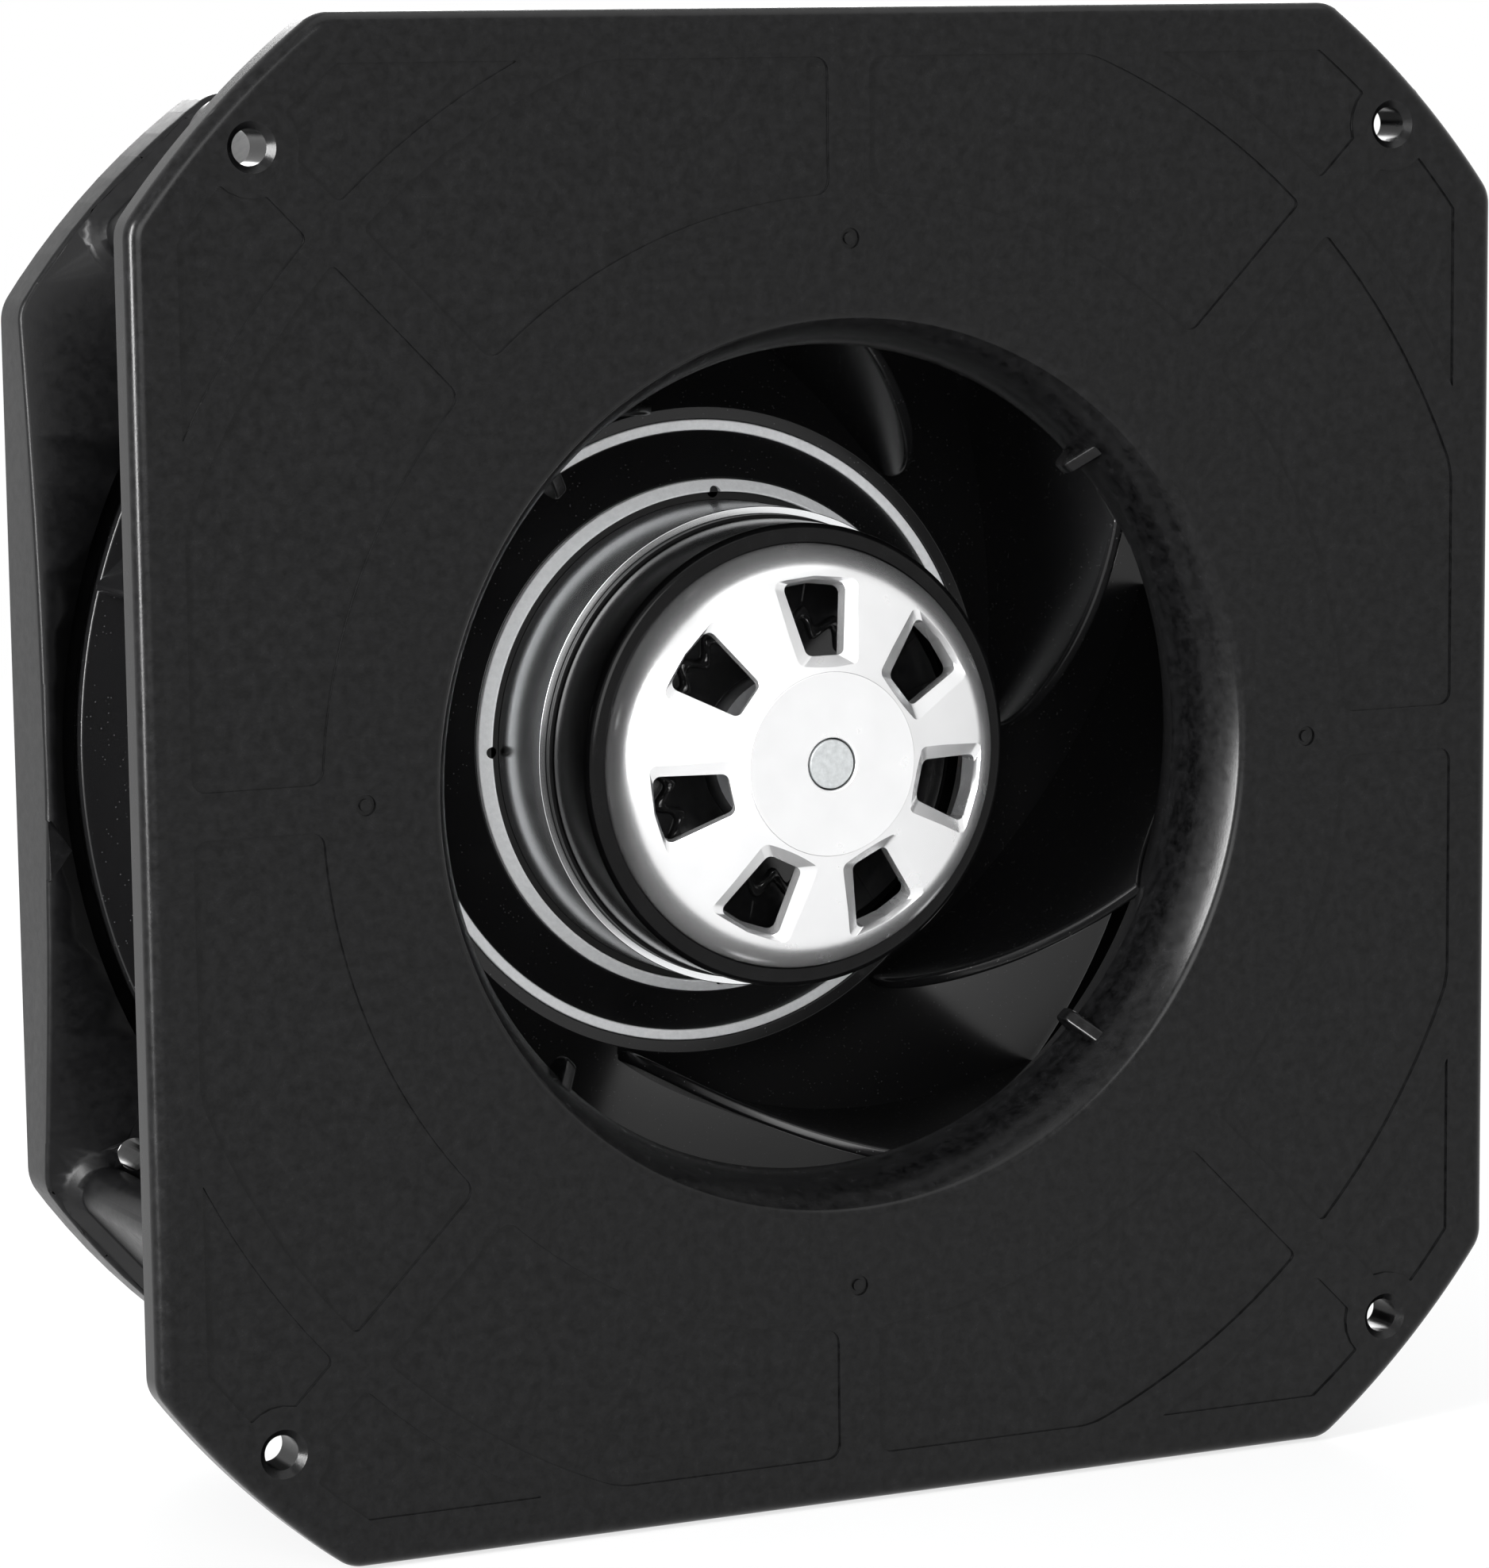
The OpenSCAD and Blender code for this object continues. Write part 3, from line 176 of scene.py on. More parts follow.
class Bench:
    """Modelling steps that all the pieces share."""

    @staticmethod
    def activate(obj: bpy.types.Object) -> None:
        """Makes one object the only selected one.

        Args:
            obj: The object.
        """
        bpy.ops.object.select_all(action="DESELECT")
        obj.select_set(True)
        bpy.context.view_layer.objects.active = obj

    @staticmethod
    def edit(obj: bpy.types.Object, kind: str = "VERT") -> None:
        """Opens an object's mesh in edit mode with everything selected.

        Args:
            obj: The object.
            kind: Selection mode: VERT, EDGE or FACE.
        """
        Bench.activate(obj)
        bpy.ops.object.mode_set(mode="EDIT")
        bpy.ops.mesh.select_mode(type=kind)
        bpy.ops.mesh.select_all(action="SELECT")

    @staticmethod
    def close() -> None:
        """Goes back to object mode."""
        bpy.ops.object.mode_set(mode="OBJECT")

    @staticmethod
    def take(name: str) -> bpy.types.Object:
        """Names the object that an operator has just made.

        Args:
            name: The name.

        Returns:
            The object.
        """
        obj = bpy.context.object
        obj.name = obj.data.name = name
        return obj

    @staticmethod
    def modify(obj: bpy.types.Object, kind: str, **settings: object) -> None:
        """Adds a modifier, sets it and applies it.

        Args:
            obj: The object.
            kind: The modifier's type.
            settings: Its settings by name.
        """
        Bench.activate(obj)
        bpy.ops.object.modifier_add(type=kind)
        step = obj.modifiers[-1]
        for key, value in settings.items():
            setattr(step, key, value)
        bpy.ops.object.modifier_apply(modifier=step.name)

    @staticmethod
    def path(name: str, points: list[Vector]) -> bpy.types.Object:
        """Draws a closed path of edges by extruding one vertex, and stays in edit mode.

        Args:
            name: Name of the new object.
            points: Points of the path, in millimetres.

        Returns:
            The new object.
        """
        bpy.ops.object.select_all(action="DESELECT")
        bpy.ops.mesh.primitive_plane_add(size=1.0, location=(0, 0, 0))
        obj = Bench.take(name)
        Bench.edit(obj)
        bpy.ops.mesh.merge(type="CENTER")
        bpy.ops.transform.translate(value=points[0] * MM)
        for here, there in zip(points, points[1:]):
            step = (there - here) * MM
            bpy.ops.mesh.extrude_region_move(TRANSFORM_OT_translate={"value": step})
        bpy.ops.mesh.select_all(action="SELECT")
        bpy.ops.mesh.edge_face_add()
        bpy.ops.mesh.delete(type="ONLY_FACE")
        bpy.ops.mesh.select_all(action="SELECT")
        return obj

    @staticmethod
    def turned(name: str, outline: list[Point], steps: int) -> bpy.types.Object:
        """Spins a closed outline of radii and depths about the fan axis.

        Args:
            name: Name of the new object.
            outline: Radius and depth of each point, in millimetres.
            steps: Number of steps around the axis.

        Returns:
            The turned piece.
        """
        obj = Bench.path(name, [Vector((r, y, 0)) for r, y in outline])
        bpy.ops.mesh.spin(steps=steps, angle=2 * math.pi, center=(0, 0, 0), axis=(0, 1, 0))
        Bench.weld()
        Bench.close()
        return obj

    @staticmethod
    def ring(name: str, radii: Point, depths: Point, fillets: Fillets, fillet_steps: int,
             steps: int = TURN_STEPS) -> bpy.types.Object:
        """Turns a ring with a four-sided section.

        Args:
            name: Name of the new object.
            radii: Inner and outer radius, in millimetres.
            depths: Depths of its front and back.
            fillets: Fillets of its inner and outer front edge, then of its outer and inner back edge.
            fillet_steps: Number of chords in a fillet.
            steps: Number of steps around the axis.

        Returns:
            The ring.
        """
        places = [(radii[0], depths[0]), (radii[1], depths[0]), (radii[1], depths[1]), (radii[0], depths[1])]
        corners = [(*place, fillet) for place, fillet in zip(places, fillets)]
        return Bench.turned(name, rounded(corners, fillet_steps), steps)

    @staticmethod
    def weld(distance: float = MERGE) -> None:
        """Merges doubled vertices in edit mode and turns the faces outwards.

        Args:
            distance: Merging distance, in millimetres.
        """
        bpy.ops.mesh.select_all(action="SELECT")
        bpy.ops.mesh.remove_doubles(threshold=distance * MM)
        bpy.ops.mesh.normals_make_consistent(inside=False)

    @staticmethod
    def loft(name: str, loops: list[list[Vector]]) -> bpy.types.Object:
        """Bridges closed loops of points into a solid.

        Args:
            name: Name of the new object.
            loops: The loops in order, in millimetres.

        Returns:
            The solid.
        """
        parts = []
        for loop in loops:
            parts.append(Bench.path(name, loop))
            Bench.close()
        obj = Bench.join(parts, name)
        Bench.edit(obj, "EDGE")
        bpy.ops.mesh.bridge_edge_loops()
        bpy.ops.mesh.select_all(action="SELECT")
        bpy.ops.mesh.fill_holes(sides=0)
        Bench.weld()
        Bench.close()
        return obj

    @staticmethod
    def prism(name: str, points: list[Vector], way: tuple[float, float, float]) -> bpy.types.Object:
        """Extrudes a flat outline.

        Args:
            name: Name of the new object.
            points: The outline's points, in millimetres.
            way: The step from the outline to the other end, in millimetres.

        Returns:
            The prism.
        """
        obj = Bench.path(name, points)
        bpy.ops.mesh.edge_face_add()
        step = tuple(length * MM for length in way)
        bpy.ops.mesh.extrude_region_move(TRANSFORM_OT_translate={"value": step})
        Bench.weld()
        Bench.close()
        return obj

    @staticmethod
    def drum(name: str, radius: float, front: float, back: float, steps: int,
             place: Point = (0.0, 0.0)) -> bpy.types.Object:
        """A round cutter along the fan axis.

        Args:
            name: Name of the new object.
            radius: Radius, in millimetres.
            front: Depth of its front.
            back: Depth of its back.
            steps: Number of sides.
            place: X and Z of its axis.

        Returns:
            The drum.
        """
        bpy.ops.object.select_all(action="DESELECT")
        bpy.ops.mesh.primitive_cylinder_add(
            vertices=steps, radius=radius * MM, depth=(back - front) * MM,
            location=(place[0] * MM, (front + back) / 2 * MM, place[1] * MM), rotation=(math.pi / 2, 0, 0))
        obj = Bench.take(name)
        Bench.settle(obj)
        return obj

    @staticmethod
    def block(name: str, low: Vector, high: Vector) -> bpy.types.Object:
        """A box between two corners.

        Args:
            name: Name of the new object.
            low: Lowest corner, in millimetres.
            high: Highest corner.

        Returns:
            The box.
        """
        bpy.ops.object.select_all(action="DESELECT")
        bpy.ops.mesh.primitive_cube_add(size=1.0, location=(low + high) / 2 * MM)
        obj = Bench.take(name)
        bpy.ops.transform.resize(value=(high - low) * MM)
        Bench.settle(obj)
        return obj

    @staticmethod
    def settle(obj: bpy.types.Object) -> None:
        """Puts an object's place, turn and scale into its mesh.

        Args:
            obj: The object.
        """
        Bench.activate(obj)
        bpy.ops.object.transform_apply(location=True, rotation=True, scale=True)

    @staticmethod
    def copies(obj: bpy.types.Object, count: int, first: float = 0.0) -> list[bpy.types.Object]:
        """Copies a piece evenly around the fan axis, each copy with its own mesh.

        Args:
            obj: The piece, which becomes the first of the set.
            count: Number of pieces in all.
            first: Turn of the first piece, in degrees.

        Returns:
            All the pieces.
        """
        pieces = [obj]
        for _ in range(count - 1):
            Bench.activate(obj)
            bpy.ops.object.duplicate(linked=False)
            pieces.append(bpy.context.object)
        for i, piece in enumerate(pieces):
            piece.matrix_world = Matrix.Rotation(-math.radians(first + i * 360.0 / count), 4, "Y")
            Bench.settle(piece)
        return pieces

    @staticmethod
    def join(pieces: list[bpy.types.Object], name: str) -> bpy.types.Object:
        """Joins pieces into one object.

        Args:
            pieces: The pieces.
            name: Name of the joined object.

        Returns:
            The joined object.
        """
        bpy.ops.object.select_all(action="DESELECT")
        for piece in pieces:
            piece.select_set(True)
        bpy.context.view_layer.objects.active = pieces[0]
        if len(pieces) > 1:
            bpy.ops.object.join()
        return Bench.take(name)

    @staticmethod
    def carve(obj: bpy.types.Object, tool: bpy.types.Object, cut: Cut, loose: bool = False) -> None:
        """Applies a Boolean with another object, which is then deleted.

        Args:
            obj: The object that is changed.
            tool: The other object.
            cut: The operation.
            loose: Whether the tool's own parts overlap each other.
        """
        Bench.modify(obj, "BOOLEAN", operation=cut.value, solver="EXACT", use_self=loose, object=tool)
        Bench.activate(tool)
        bpy.ops.object.delete()

    @staticmethod
    def pick_edges(obj: bpy.types.Object, rule: EdgeRule) -> int:
        """Selects the edges that a rule accepts, and opens edit mode on them.

        Args:
            obj: The object.
            rule: Takes an edge's ends in millimetres and the angle between its faces in degrees.

        Returns:
            The number of edges selected.
        """
        Bench.edit(obj, "EDGE")
        bpy.ops.mesh.select_all(action="DESELECT")
        Bench.close()
        mesh = obj.data
        faces: dict[tuple[int, int], list[Vector]] = {}
        for polygon in mesh.polygons:
            for key in polygon.edge_keys:
                faces.setdefault(key, []).append(polygon.normal)
        count = 0
        for edge in mesh.edges:
            normals = faces.get(edge.key, [])
            bend = math.degrees(normals[0].angle(normals[1], 0.0)) if len(normals) == 2 else 180.0
            ends = [mesh.vertices[i].co / MM for i in edge.vertices]
            if rule(ends[0], ends[1], bend):
                edge.select = True
                count += 1
        bpy.ops.object.mode_set(mode="EDIT")
        bpy.ops.mesh.select_mode(type="EDGE")
        return count

    @staticmethod
    def soften(obj: bpy.types.Object, rule: EdgeRule, width: float, segments: int,
               clamp: bool = True) -> None:
        """Bevels the edges that a rule accepts.

        Args:
            obj: The object.
            rule: The rule, as in pick_edges.
            width: Width of the bevel, in millimetres.
            segments: Number of its strips.
            clamp: Whether neighbouring bevels limit each other.
        """
        if Bench.pick_edges(obj, rule):
            bpy.ops.mesh.bevel(offset=width * MM, segments=segments, affect="EDGES", clamp_overlap=clamp)
        Bench.close()

    @staticmethod
    def soften_each(obj: bpy.types.Object, rule: EdgeRule, width: float, segments: int) -> None:
        """Bevels the edges that a rule accepts one by one, so that none limits another's width.

        Args:
            obj: The object.
            rule: The rule, as in pick_edges.
            width: Width of the bevel, in millimetres.
            segments: Number of its strips.
        """
        found: list[tuple[Vector, Vector]] = []

        def note(one: Vector, two: Vector, bend: float) -> bool:
            """Notes an edge that the rule accepts.

            Args:
                one: One end, in millimetres.
                two: The other end.
                bend: Angle between its faces.

            Returns:
                False, so that nothing is selected yet.
            """
            if rule(one, two, bend):
                found.append((one.copy(), two.copy()))
            return False

        Bench.pick_edges(obj, note)
        Bench.close()
        for first, last in found:
            middle = (first + last) / 2
            Bench.soften(obj, lambda one, two, bend: ((one + two) / 2 - middle).length < MERGE,
                         width, segments)

    @staticmethod
    def smooth(obj: bpy.types.Object, angle: float = 32.0) -> bpy.types.Object:
        """Shades a piece smooth except over sharp edges.

        Args:
            obj: The piece.
            angle: Largest angle that is smoothed, in degrees.

        Returns:
            The piece.
        """
        Bench.activate(obj)
        bpy.ops.object.shade_smooth_by_angle(angle=math.radians(angle))
        Bench.modify(obj, "WEIGHTED_NORMAL", keep_sharp=True)
        return obj


class Wiring:
    """Steps that all the node trees share."""

    @staticmethod
    def node(tree: bpy.types.NodeTree, kind: str,
             values: Optional[dict[str, object]] = None) -> bpy.types.Node:
        """Adds a shader node.

        Args:
            tree: The node tree.
            kind: The node's type, without the words that all of them start with.
            values: Values of its inputs, by name.

        Returns:
            The node.
        """
        made = tree.nodes.new("ShaderNode" + kind)
        for socket, value in (values or {}).items():
            made.inputs[socket].default_value = value
        return made

    @staticmethod
    def maths(tree: bpy.types.NodeTree, operation: str, second: float = 0.5,
              clamp: bool = False) -> bpy.types.Node:
        """Adds a Math node.

        Args:
            tree: The node tree.
            operation: Its operation.
            second: Value of its second input, where nothing is linked to it.
            clamp: Whether its result stays between 0 and 1.

        Returns:
            The node.
        """
        made = Wiring.node(tree, "Math")
        made.operation = operation
        made.use_clamp = clamp
        made.inputs[1].default_value = second
        return made

    @staticmethod
    def link(tree: bpy.types.NodeTree, *routes: Route) -> None:
        """Links nodes.

        Args:
            tree: The node tree.
            routes: For each link its source, the output's name, its target and the input's name or number.
        """
        for source, output, target, socket in routes:
            tree.links.new(source.outputs[output], target.inputs[socket])


class Effect(Enum):
    """Shared surface effects, by the names of their node groups."""

    GRAIN = "moulded_grain"
    SPECKS = "fibre_specks"
    TURNING = "turned_rings"
    LAYERS = "stacked_sheets"


class Effects:
    """Shader node groups that several materials share, each built once."""

    groups: dict[Effect, bpy.types.NodeTree] = {}

    @classmethod
    def shared(cls, effect: Effect) -> bpy.types.NodeTree:
        """Finds an effect's group, which is built on its first use.

        Args:
            effect: The effect.

        Returns:
            The group.
        """
        if effect not in cls.groups:
            makers = {Effect.GRAIN: cls.grain, Effect.SPECKS: cls.specks, Effect.TURNING: cls.turning,
                      Effect.LAYERS: cls.layers}
            cls.groups[effect] = makers[effect]()
        return cls.groups[effect]

    @staticmethod
    def start(effect: Effect, inputs: dict[str, float]) -> Group:
        """Starts a group with named values as inputs and a height and a mask as outputs.

        Args:
            effect: The effect.
            inputs: Names and default values of its inputs.

        Returns:
            The group, its input node, its coordinates and its output node.
        """
        tree = bpy.data.node_groups.new(effect.value, "ShaderNodeTree")
        for label, value in inputs.items():
            socket = tree.interface.new_socket(name=label, in_out="INPUT", socket_type="NodeSocketFloat")
            socket.default_value = value
        for label in ("Height", "Mask"):
            tree.interface.new_socket(name=label, in_out="OUTPUT", socket_type="NodeSocketFloat")
        given = tree.nodes.new("NodeGroupInput")
        return tree, given, Wiring.node(tree, "TexCoord"), tree.nodes.new("NodeGroupOutput")

    @classmethod
    def grain(cls) -> bpy.types.NodeTree:
        """Moulded grain: a fine height and a soft, cloudy mask.

        Returns:
            The group.
        """
        tree, given, place, out = cls.start(Effect.GRAIN, {"Fine": 1400.0, "Cloud": 260.0})
        fine = Wiring.node(tree, "TexNoise", {"Detail": 3.0})
        cloud = Wiring.node(tree, "TexNoise", {"Detail": 4.0, "Roughness": 0.7})
        spread = Wiring.node(tree, "MapRange", {"From Min": 0.3, "From Max": 0.7})
        Wiring.link(
            tree,
            (place, "Object", fine, "Vector"), (given, "Fine", fine, "Scale"),
            (place, "Object", cloud, "Vector"), (given, "Cloud", cloud, "Scale"),
            (cloud, "Fac", spread, "Value"),
            (fine, "Fac", out, "Height"), (spread, "Result", out, "Mask"))
        return tree

    @classmethod
    def specks(cls) -> bpy.types.NodeTree:
        """Small bright fibres in a filled plastic, and its fine height.

        Returns:
            The group.
        """
        tree, given, place, out = cls.start(Effect.SPECKS, {"Scale": 900.0, "Size": 0.16})
        cells = Wiring.node(tree, "TexVoronoi")
        dots = Wiring.maths(tree, "LESS_THAN")
        thin = Wiring.node(tree, "TexNoise", {"Scale": 420.0})
        some = Wiring.maths(tree, "GREATER_THAN", 0.52)
        both = Wiring.maths(tree, "MULTIPLY")
        Wiring.link(
            tree,
            (place, "Object", cells, "Vector"), (given, "Scale", cells, "Scale"),
            (cells, "Distance", dots, 0), (given, "Size", dots, 1),
            (place, "Object", thin, "Vector"), (thin, "Fac", some, 0),
            (dots, "Value", both, 0), (some, "Value", both, 1),
            (thin, "Fac", out, "Height"), (both, "Value", out, "Mask"))
        return tree

    @classmethod
    def turning(cls) -> bpy.types.NodeTree:
        """Fine rings from a lathe about the fan axis, and a mask of cloudy patches.

        Returns:
            The group.
        """
        tree, given, place, out = cls.start(Effect.TURNING, {"Rings": 2600.0, "Along": 1.0, "Cloud": 180.0})
        parts = Wiring.node(tree, "SeparateXYZ")
        square_x = Wiring.maths(tree, "MULTIPLY")
        square_z = Wiring.maths(tree, "MULTIPLY_ADD")
        radius = Wiring.maths(tree, "SQRT")
        depth = Wiring.maths(tree, "MULTIPLY_ADD")
        rings = Wiring.node(tree, "TexNoise", {"Detail": 2.0})
        rings.noise_dimensions = "1D"
        cloud = Wiring.node(tree, "TexNoise", {"Detail": 5.0})
        Wiring.link(
            tree,
            (place, "Object", parts, "Vector"),
            (parts, "X", square_x, 0), (parts, "X", square_x, 1),
            (parts, "Z", square_z, 0), (parts, "Z", square_z, 1), (square_x, "Value", square_z, 2),
            (square_z, "Value", radius, 0),
            (parts, "Y", depth, 0), (given, "Along", depth, 1), (radius, "Value", depth, 2),
            (depth, "Value", rings, "W"), (given, "Rings", rings, "Scale"),
            (place, "Object", cloud, "Vector"), (given, "Cloud", cloud, "Scale"),
            (rings, "Fac", out, "Height"), (cloud, "Fac", out, "Mask"))
        return tree

    @classmethod
    def layers(cls) -> bpy.types.NodeTree:
        """Thin sheets stacked along the fan axis, with a height and a dark line between them.

        Returns:
            The group.
        """
        tree, given, place, out = cls.start(Effect.LAYERS, {"Sheets": 2000.0, "Cloud": 300.0})
        parts = Wiring.node(tree, "SeparateXYZ")
        count = Wiring.maths(tree, "MULTIPLY")
        wave = Wiring.maths(tree, "PINGPONG", 1.0)
        cloud = Wiring.node(tree, "TexNoise", {"Detail": 4.0})
        mix = Wiring.maths(tree, "MULTIPLY")
        Wiring.link(
            tree,
            (place, "Object", parts, "Vector"),
            (parts, "Y", count, 0), (given, "Sheets", count, 1), (count, "Value", wave, 0),
            (place, "Object", cloud, "Vector"), (given, "Cloud", cloud, "Scale"),
            (wave, "Value", mix, 0), (cloud, "Fac", mix, 1),
            (wave, "Value", out, "Height"), (mix, "Value", out, "Mask"))
        return tree


@dataclass(frozen=True)
class Finish:
    """One finish: an effect that varies its colour, roughness and height."""

    name: str
    dark: Colour
    light: Colour
    rough: Point
    metallic: float = 0.0
    effect: Effect = Effect.GRAIN
    values: dict[str, float] = field(default_factory=dict)
    bump: float = 0.1
    bump_depth: float = 0.05
    specular: float = 0.5

    def material(self) -> bpy.types.Material:
        """Builds the material once, and finds it again later.

        Returns:
            The material.
        """
        label = self.name + "_finish"
        found = bpy.data.materials.get(label)
        if found:
            return found
        made = bpy.data.materials.new(label)
        made.use_nodes = True
        made.diffuse_color = (*self.light, 1.0)
        tree = made.node_tree
        shader = tree.nodes["Principled BSDF"]
        shader.inputs["Metallic"].default_value = self.metallic
        shader.inputs["Specular IOR Level"].default_value = self.specular
        group = tree.nodes.new("ShaderNodeGroup")
        group.node_tree = Effects.shared(self.effect)
        for socket, value in self.values.items():
            group.inputs[socket].default_value = value
        colour = tree.nodes.new("ShaderNodeMix")
        colour.data_type = "RGBA"
        colour.inputs["A"].default_value = (*self.dark, 1.0)
        colour.inputs["B"].default_value = (*self.light, 1.0)
        rough = Wiring.node(tree, "MapRange", {"To Min": self.rough[0], "To Max": self.rough[1]})
        bump = Wiring.node(tree, "Bump", {"Strength": self.bump, "Distance": self.bump_depth * MM})
        Wiring.link(
            tree,
            (group, "Mask", colour, "Factor"), (colour, "Result", shader, "Base Color"),
            (group, "Mask", rough, "Value"), (rough, "Result", shader, "Roughness"),
            (group, "Height", bump, "Height"), (bump, "Normal", shader, "Normal"))
        return made

    def dress(self, obj: bpy.types.Object) -> None:
        """Gives an object this finish all over.

        Args:
            obj: The object.
        """
        obj.data.materials.clear()
        obj.data.materials.append(self.material())


PLATE = Finish("plate_plastic", (0.0005, 0.0005, 0.00055), (0.0055, 0.0055, 0.0058), (0.2, 0.28),
               values={"Fine": 2600.0, "Cloud": 420.0}, bump=0.22, bump_depth=0.06, specular=0.21)
# A second copy of the plate plastic, less glossy than PLATE, for the rear plate, which is of the same
# plastic: painted shade that keeps the rear plate darker.
REAR_PAINTED_SHADE = Finish("rear_plastic_painted_shade", (0.0026, 0.0026, 0.0028), (0.0052, 0.0052, 0.0055), (0.3, 0.4),
              values={"Fine": 2600.0, "Cloud": 420.0}, bump=0.22, bump_depth=0.06, specular=0.16)
IMPELLER = Finish("impeller_plastic", (0.007, 0.007, 0.0073), (0.16, 0.16, 0.165), (0.24, 0.34),
                  effect=Effect.SPECKS, values={"Scale": 1100.0, "Size": 0.1}, bump=0.12, bump_depth=0.05,
                  specular=0.38)
HOUSING = Finish("housing_plastic", (0.006, 0.006, 0.0065), (0.012, 0.012, 0.0125), (0.38, 0.50),
                 values={"Fine": 1300.0, "Cloud": 300.0}, bump=0.3, bump_depth=0.06, specular=0.2)
INSULATOR = Finish("insulator_plastic", (0.004, 0.004, 0.0042), (0.008, 0.008, 0.0082), (0.12, 0.2),
                   values={"Fine": 900.0, "Cloud": 500.0}, bump=0.08, specular=0.5)
TERMINAL = Finish("terminal_plastic", (0.62, 0.62, 0.59), (0.72, 0.72, 0.69), (0.35, 0.5), bump=0.1)
# This finish also dresses the dark ring in the rotor flange's groove, which is painted shade.
RUBBER_AND_GROOVE_SHADE = Finish("seal_rubber", (0.008, 0.008, 0.008), (0.014, 0.014, 0.014), (0.6, 0.75),
                bump=0.3, specular=0.25)
PAINT = Finish("black_paint", (0.002, 0.002, 0.0021), (0.0045, 0.0045, 0.0047), (0.12, 0.18),
               values={"Fine": 600.0, "Cloud": 120.0}, bump=0.05, specular=0.14)
POLISHED = Finish("polished_aluminium", (0.78, 0.78, 0.785), (0.86, 0.86, 0.865), (0.22, 0.3), metallic=0.85,
                  effect=Effect.TURNING, values={"Rings": 2600.0, "Along": 1.0, "Cloud": 140.0},
                  bump=0.05, bump_depth=0.02)
CAST = Finish("cast_aluminium", (0.45, 0.46, 0.47), (0.60, 0.61, 0.62), (0.42, 0.6), metallic=1.0,
              values={"Fine": 700.0, "Cloud": 160.0}, bump=0.4)
BRIGHT = Finish("bright_steel", (0.84, 0.85, 0.86), (0.92, 0.93, 0.94), (0.17, 0.24), metallic=1.0,
                effect=Effect.TURNING, values={"Rings": 3200.0, "Along": 1.0, "Cloud": 160.0},
                bump=0.04, bump_depth=0.02)
SHAFT = Finish("shaft_steel", (0.42, 0.435, 0.44), (0.58, 0.6, 0.605), (0.38, 0.5), metallic=0.7,
               values={"Fine": 1500.0, "Cloud": 700.0}, bump=0.2)
RING = Finish("ring_aluminium", (0.82, 0.83, 0.84), (0.94, 0.95, 0.96), (0.45, 0.6), metallic=0.1,
              values={"Fine": 1400.0, "Cloud": 900.0}, bump=0.12)
LAMINATION = Finish("lamination_steel", (0.003, 0.003, 0.0032), (0.012, 0.012, 0.0125), (0.34, 0.5),
                    effect=Effect.LAYERS, values={"Sheets": 2000.0, "Cloud": 300.0}, bump=0.35,
                    specular=0.12)
BEARING = Finish("bearing_steel", (0.55, 0.56, 0.58), (0.66, 0.67, 0.69), (0.12, 0.2), metallic=1.0,
                 effect=Effect.TURNING, values={"Rings": 2000.0}, bump=0.05)
FASTENER = Finish("fastener_steel", (0.42, 0.43, 0.44), (0.56, 0.57, 0.58), (0.26, 0.42), metallic=1.0,
                  values={"Fine": 1600.0, "Cloud": 420.0}, bump=0.12)
WINDING = Finish("winding", (0.22, 0.07, 0.025), (0.5, 0.2, 0.08), (0.25, 0.4), metallic=0.8,
                 effect=Effect.LAYERS, values={"Sheets": 1300.0, "Cloud": 300.0}, bump=0.5)
SLOT_FINISHES = (PLATE, IMPELLER, INSULATOR, TERMINAL, RUBBER_AND_GROOVE_SHADE, PAINT, POLISHED, CAST, BRIGHT, LAMINATION,
                 BEARING, FASTENER, WINDING)


@dataclass(frozen=True)
class PhotoView:
    """The photograph's camera: angles in degrees, places in millimetres, the picture's values in pixels."""

    yaw: float = -26.261
    pitch: float = 9.219
    roll: float = -0.634
    distance: float = 1154.112
    target: tuple[float, float, float] = (-19.354, 0.0, -38.773)
    focal: float = 7320.424
    centre: Point = (969.803, 1221.91)
    image: Point = (1876.0, 1976.0)
    sensor: float = 36.0
    nearest: float = 50.0

    def build(self) -> bpy.types.Object:
        """Places the camera and makes it the scene's.

        Returns:
            The camera.
        """
        yaw, pitch, roll = (math.radians(a) for a in (self.yaw, self.pitch, self.roll))
        back = Vector((math.sin(yaw) * math.cos(pitch), -math.cos(yaw) * math.cos(pitch), math.sin(pitch)))
        right = Vector((math.cos(yaw), math.sin(yaw), 0.0))
        up = back.cross(right)
        turned_right = right * math.cos(roll) + up * math.sin(roll)
        turned_up = up * math.cos(roll) - right * math.sin(roll)
        bpy.ops.object.camera_add()
        camera = bpy.context.object
        camera.name = "photo_camera"
        longest = max(self.image)
        camera.data.sensor_width = self.sensor
        camera.data.lens = self.focal * self.sensor / longest
        camera.data.shift_x = (self.image[0] / 2 - self.centre[0]) / longest
        camera.data.shift_y = (self.centre[1] - self.image[1] / 2) / longest
        camera.data.clip_start = self.nearest * MM
        turn = Matrix((turned_right, turned_up, back)).transposed()
        place = (Vector(self.target) + back * self.distance) * MM
        camera.matrix_world = Matrix.Translation(place) @ turn.to_4x4()
        bpy.context.scene.camera = camera
        return camera


@dataclass(frozen=True)
class Lamp:
    """One soft studio light, in metres and watts."""

    name: str
    place: tuple[float, float, float]
    size: Point
    power: float

    def build(self, aim: Vector) -> None:
        """Places the light.

        Args:
            aim: The point that it shines at, in metres.
        """
        place = Vector(self.place)
        bpy.ops.object.light_add(type="AREA", location=place)
        lamp = bpy.context.object
        lamp.name = self.name
        lamp.data.shape = "RECTANGLE"
        lamp.data.size, lamp.data.size_y = self.size
        lamp.data.energy = self.power
        lamp.rotation_euler = (aim - place).to_track_quat("-Z", "Y").to_euler()


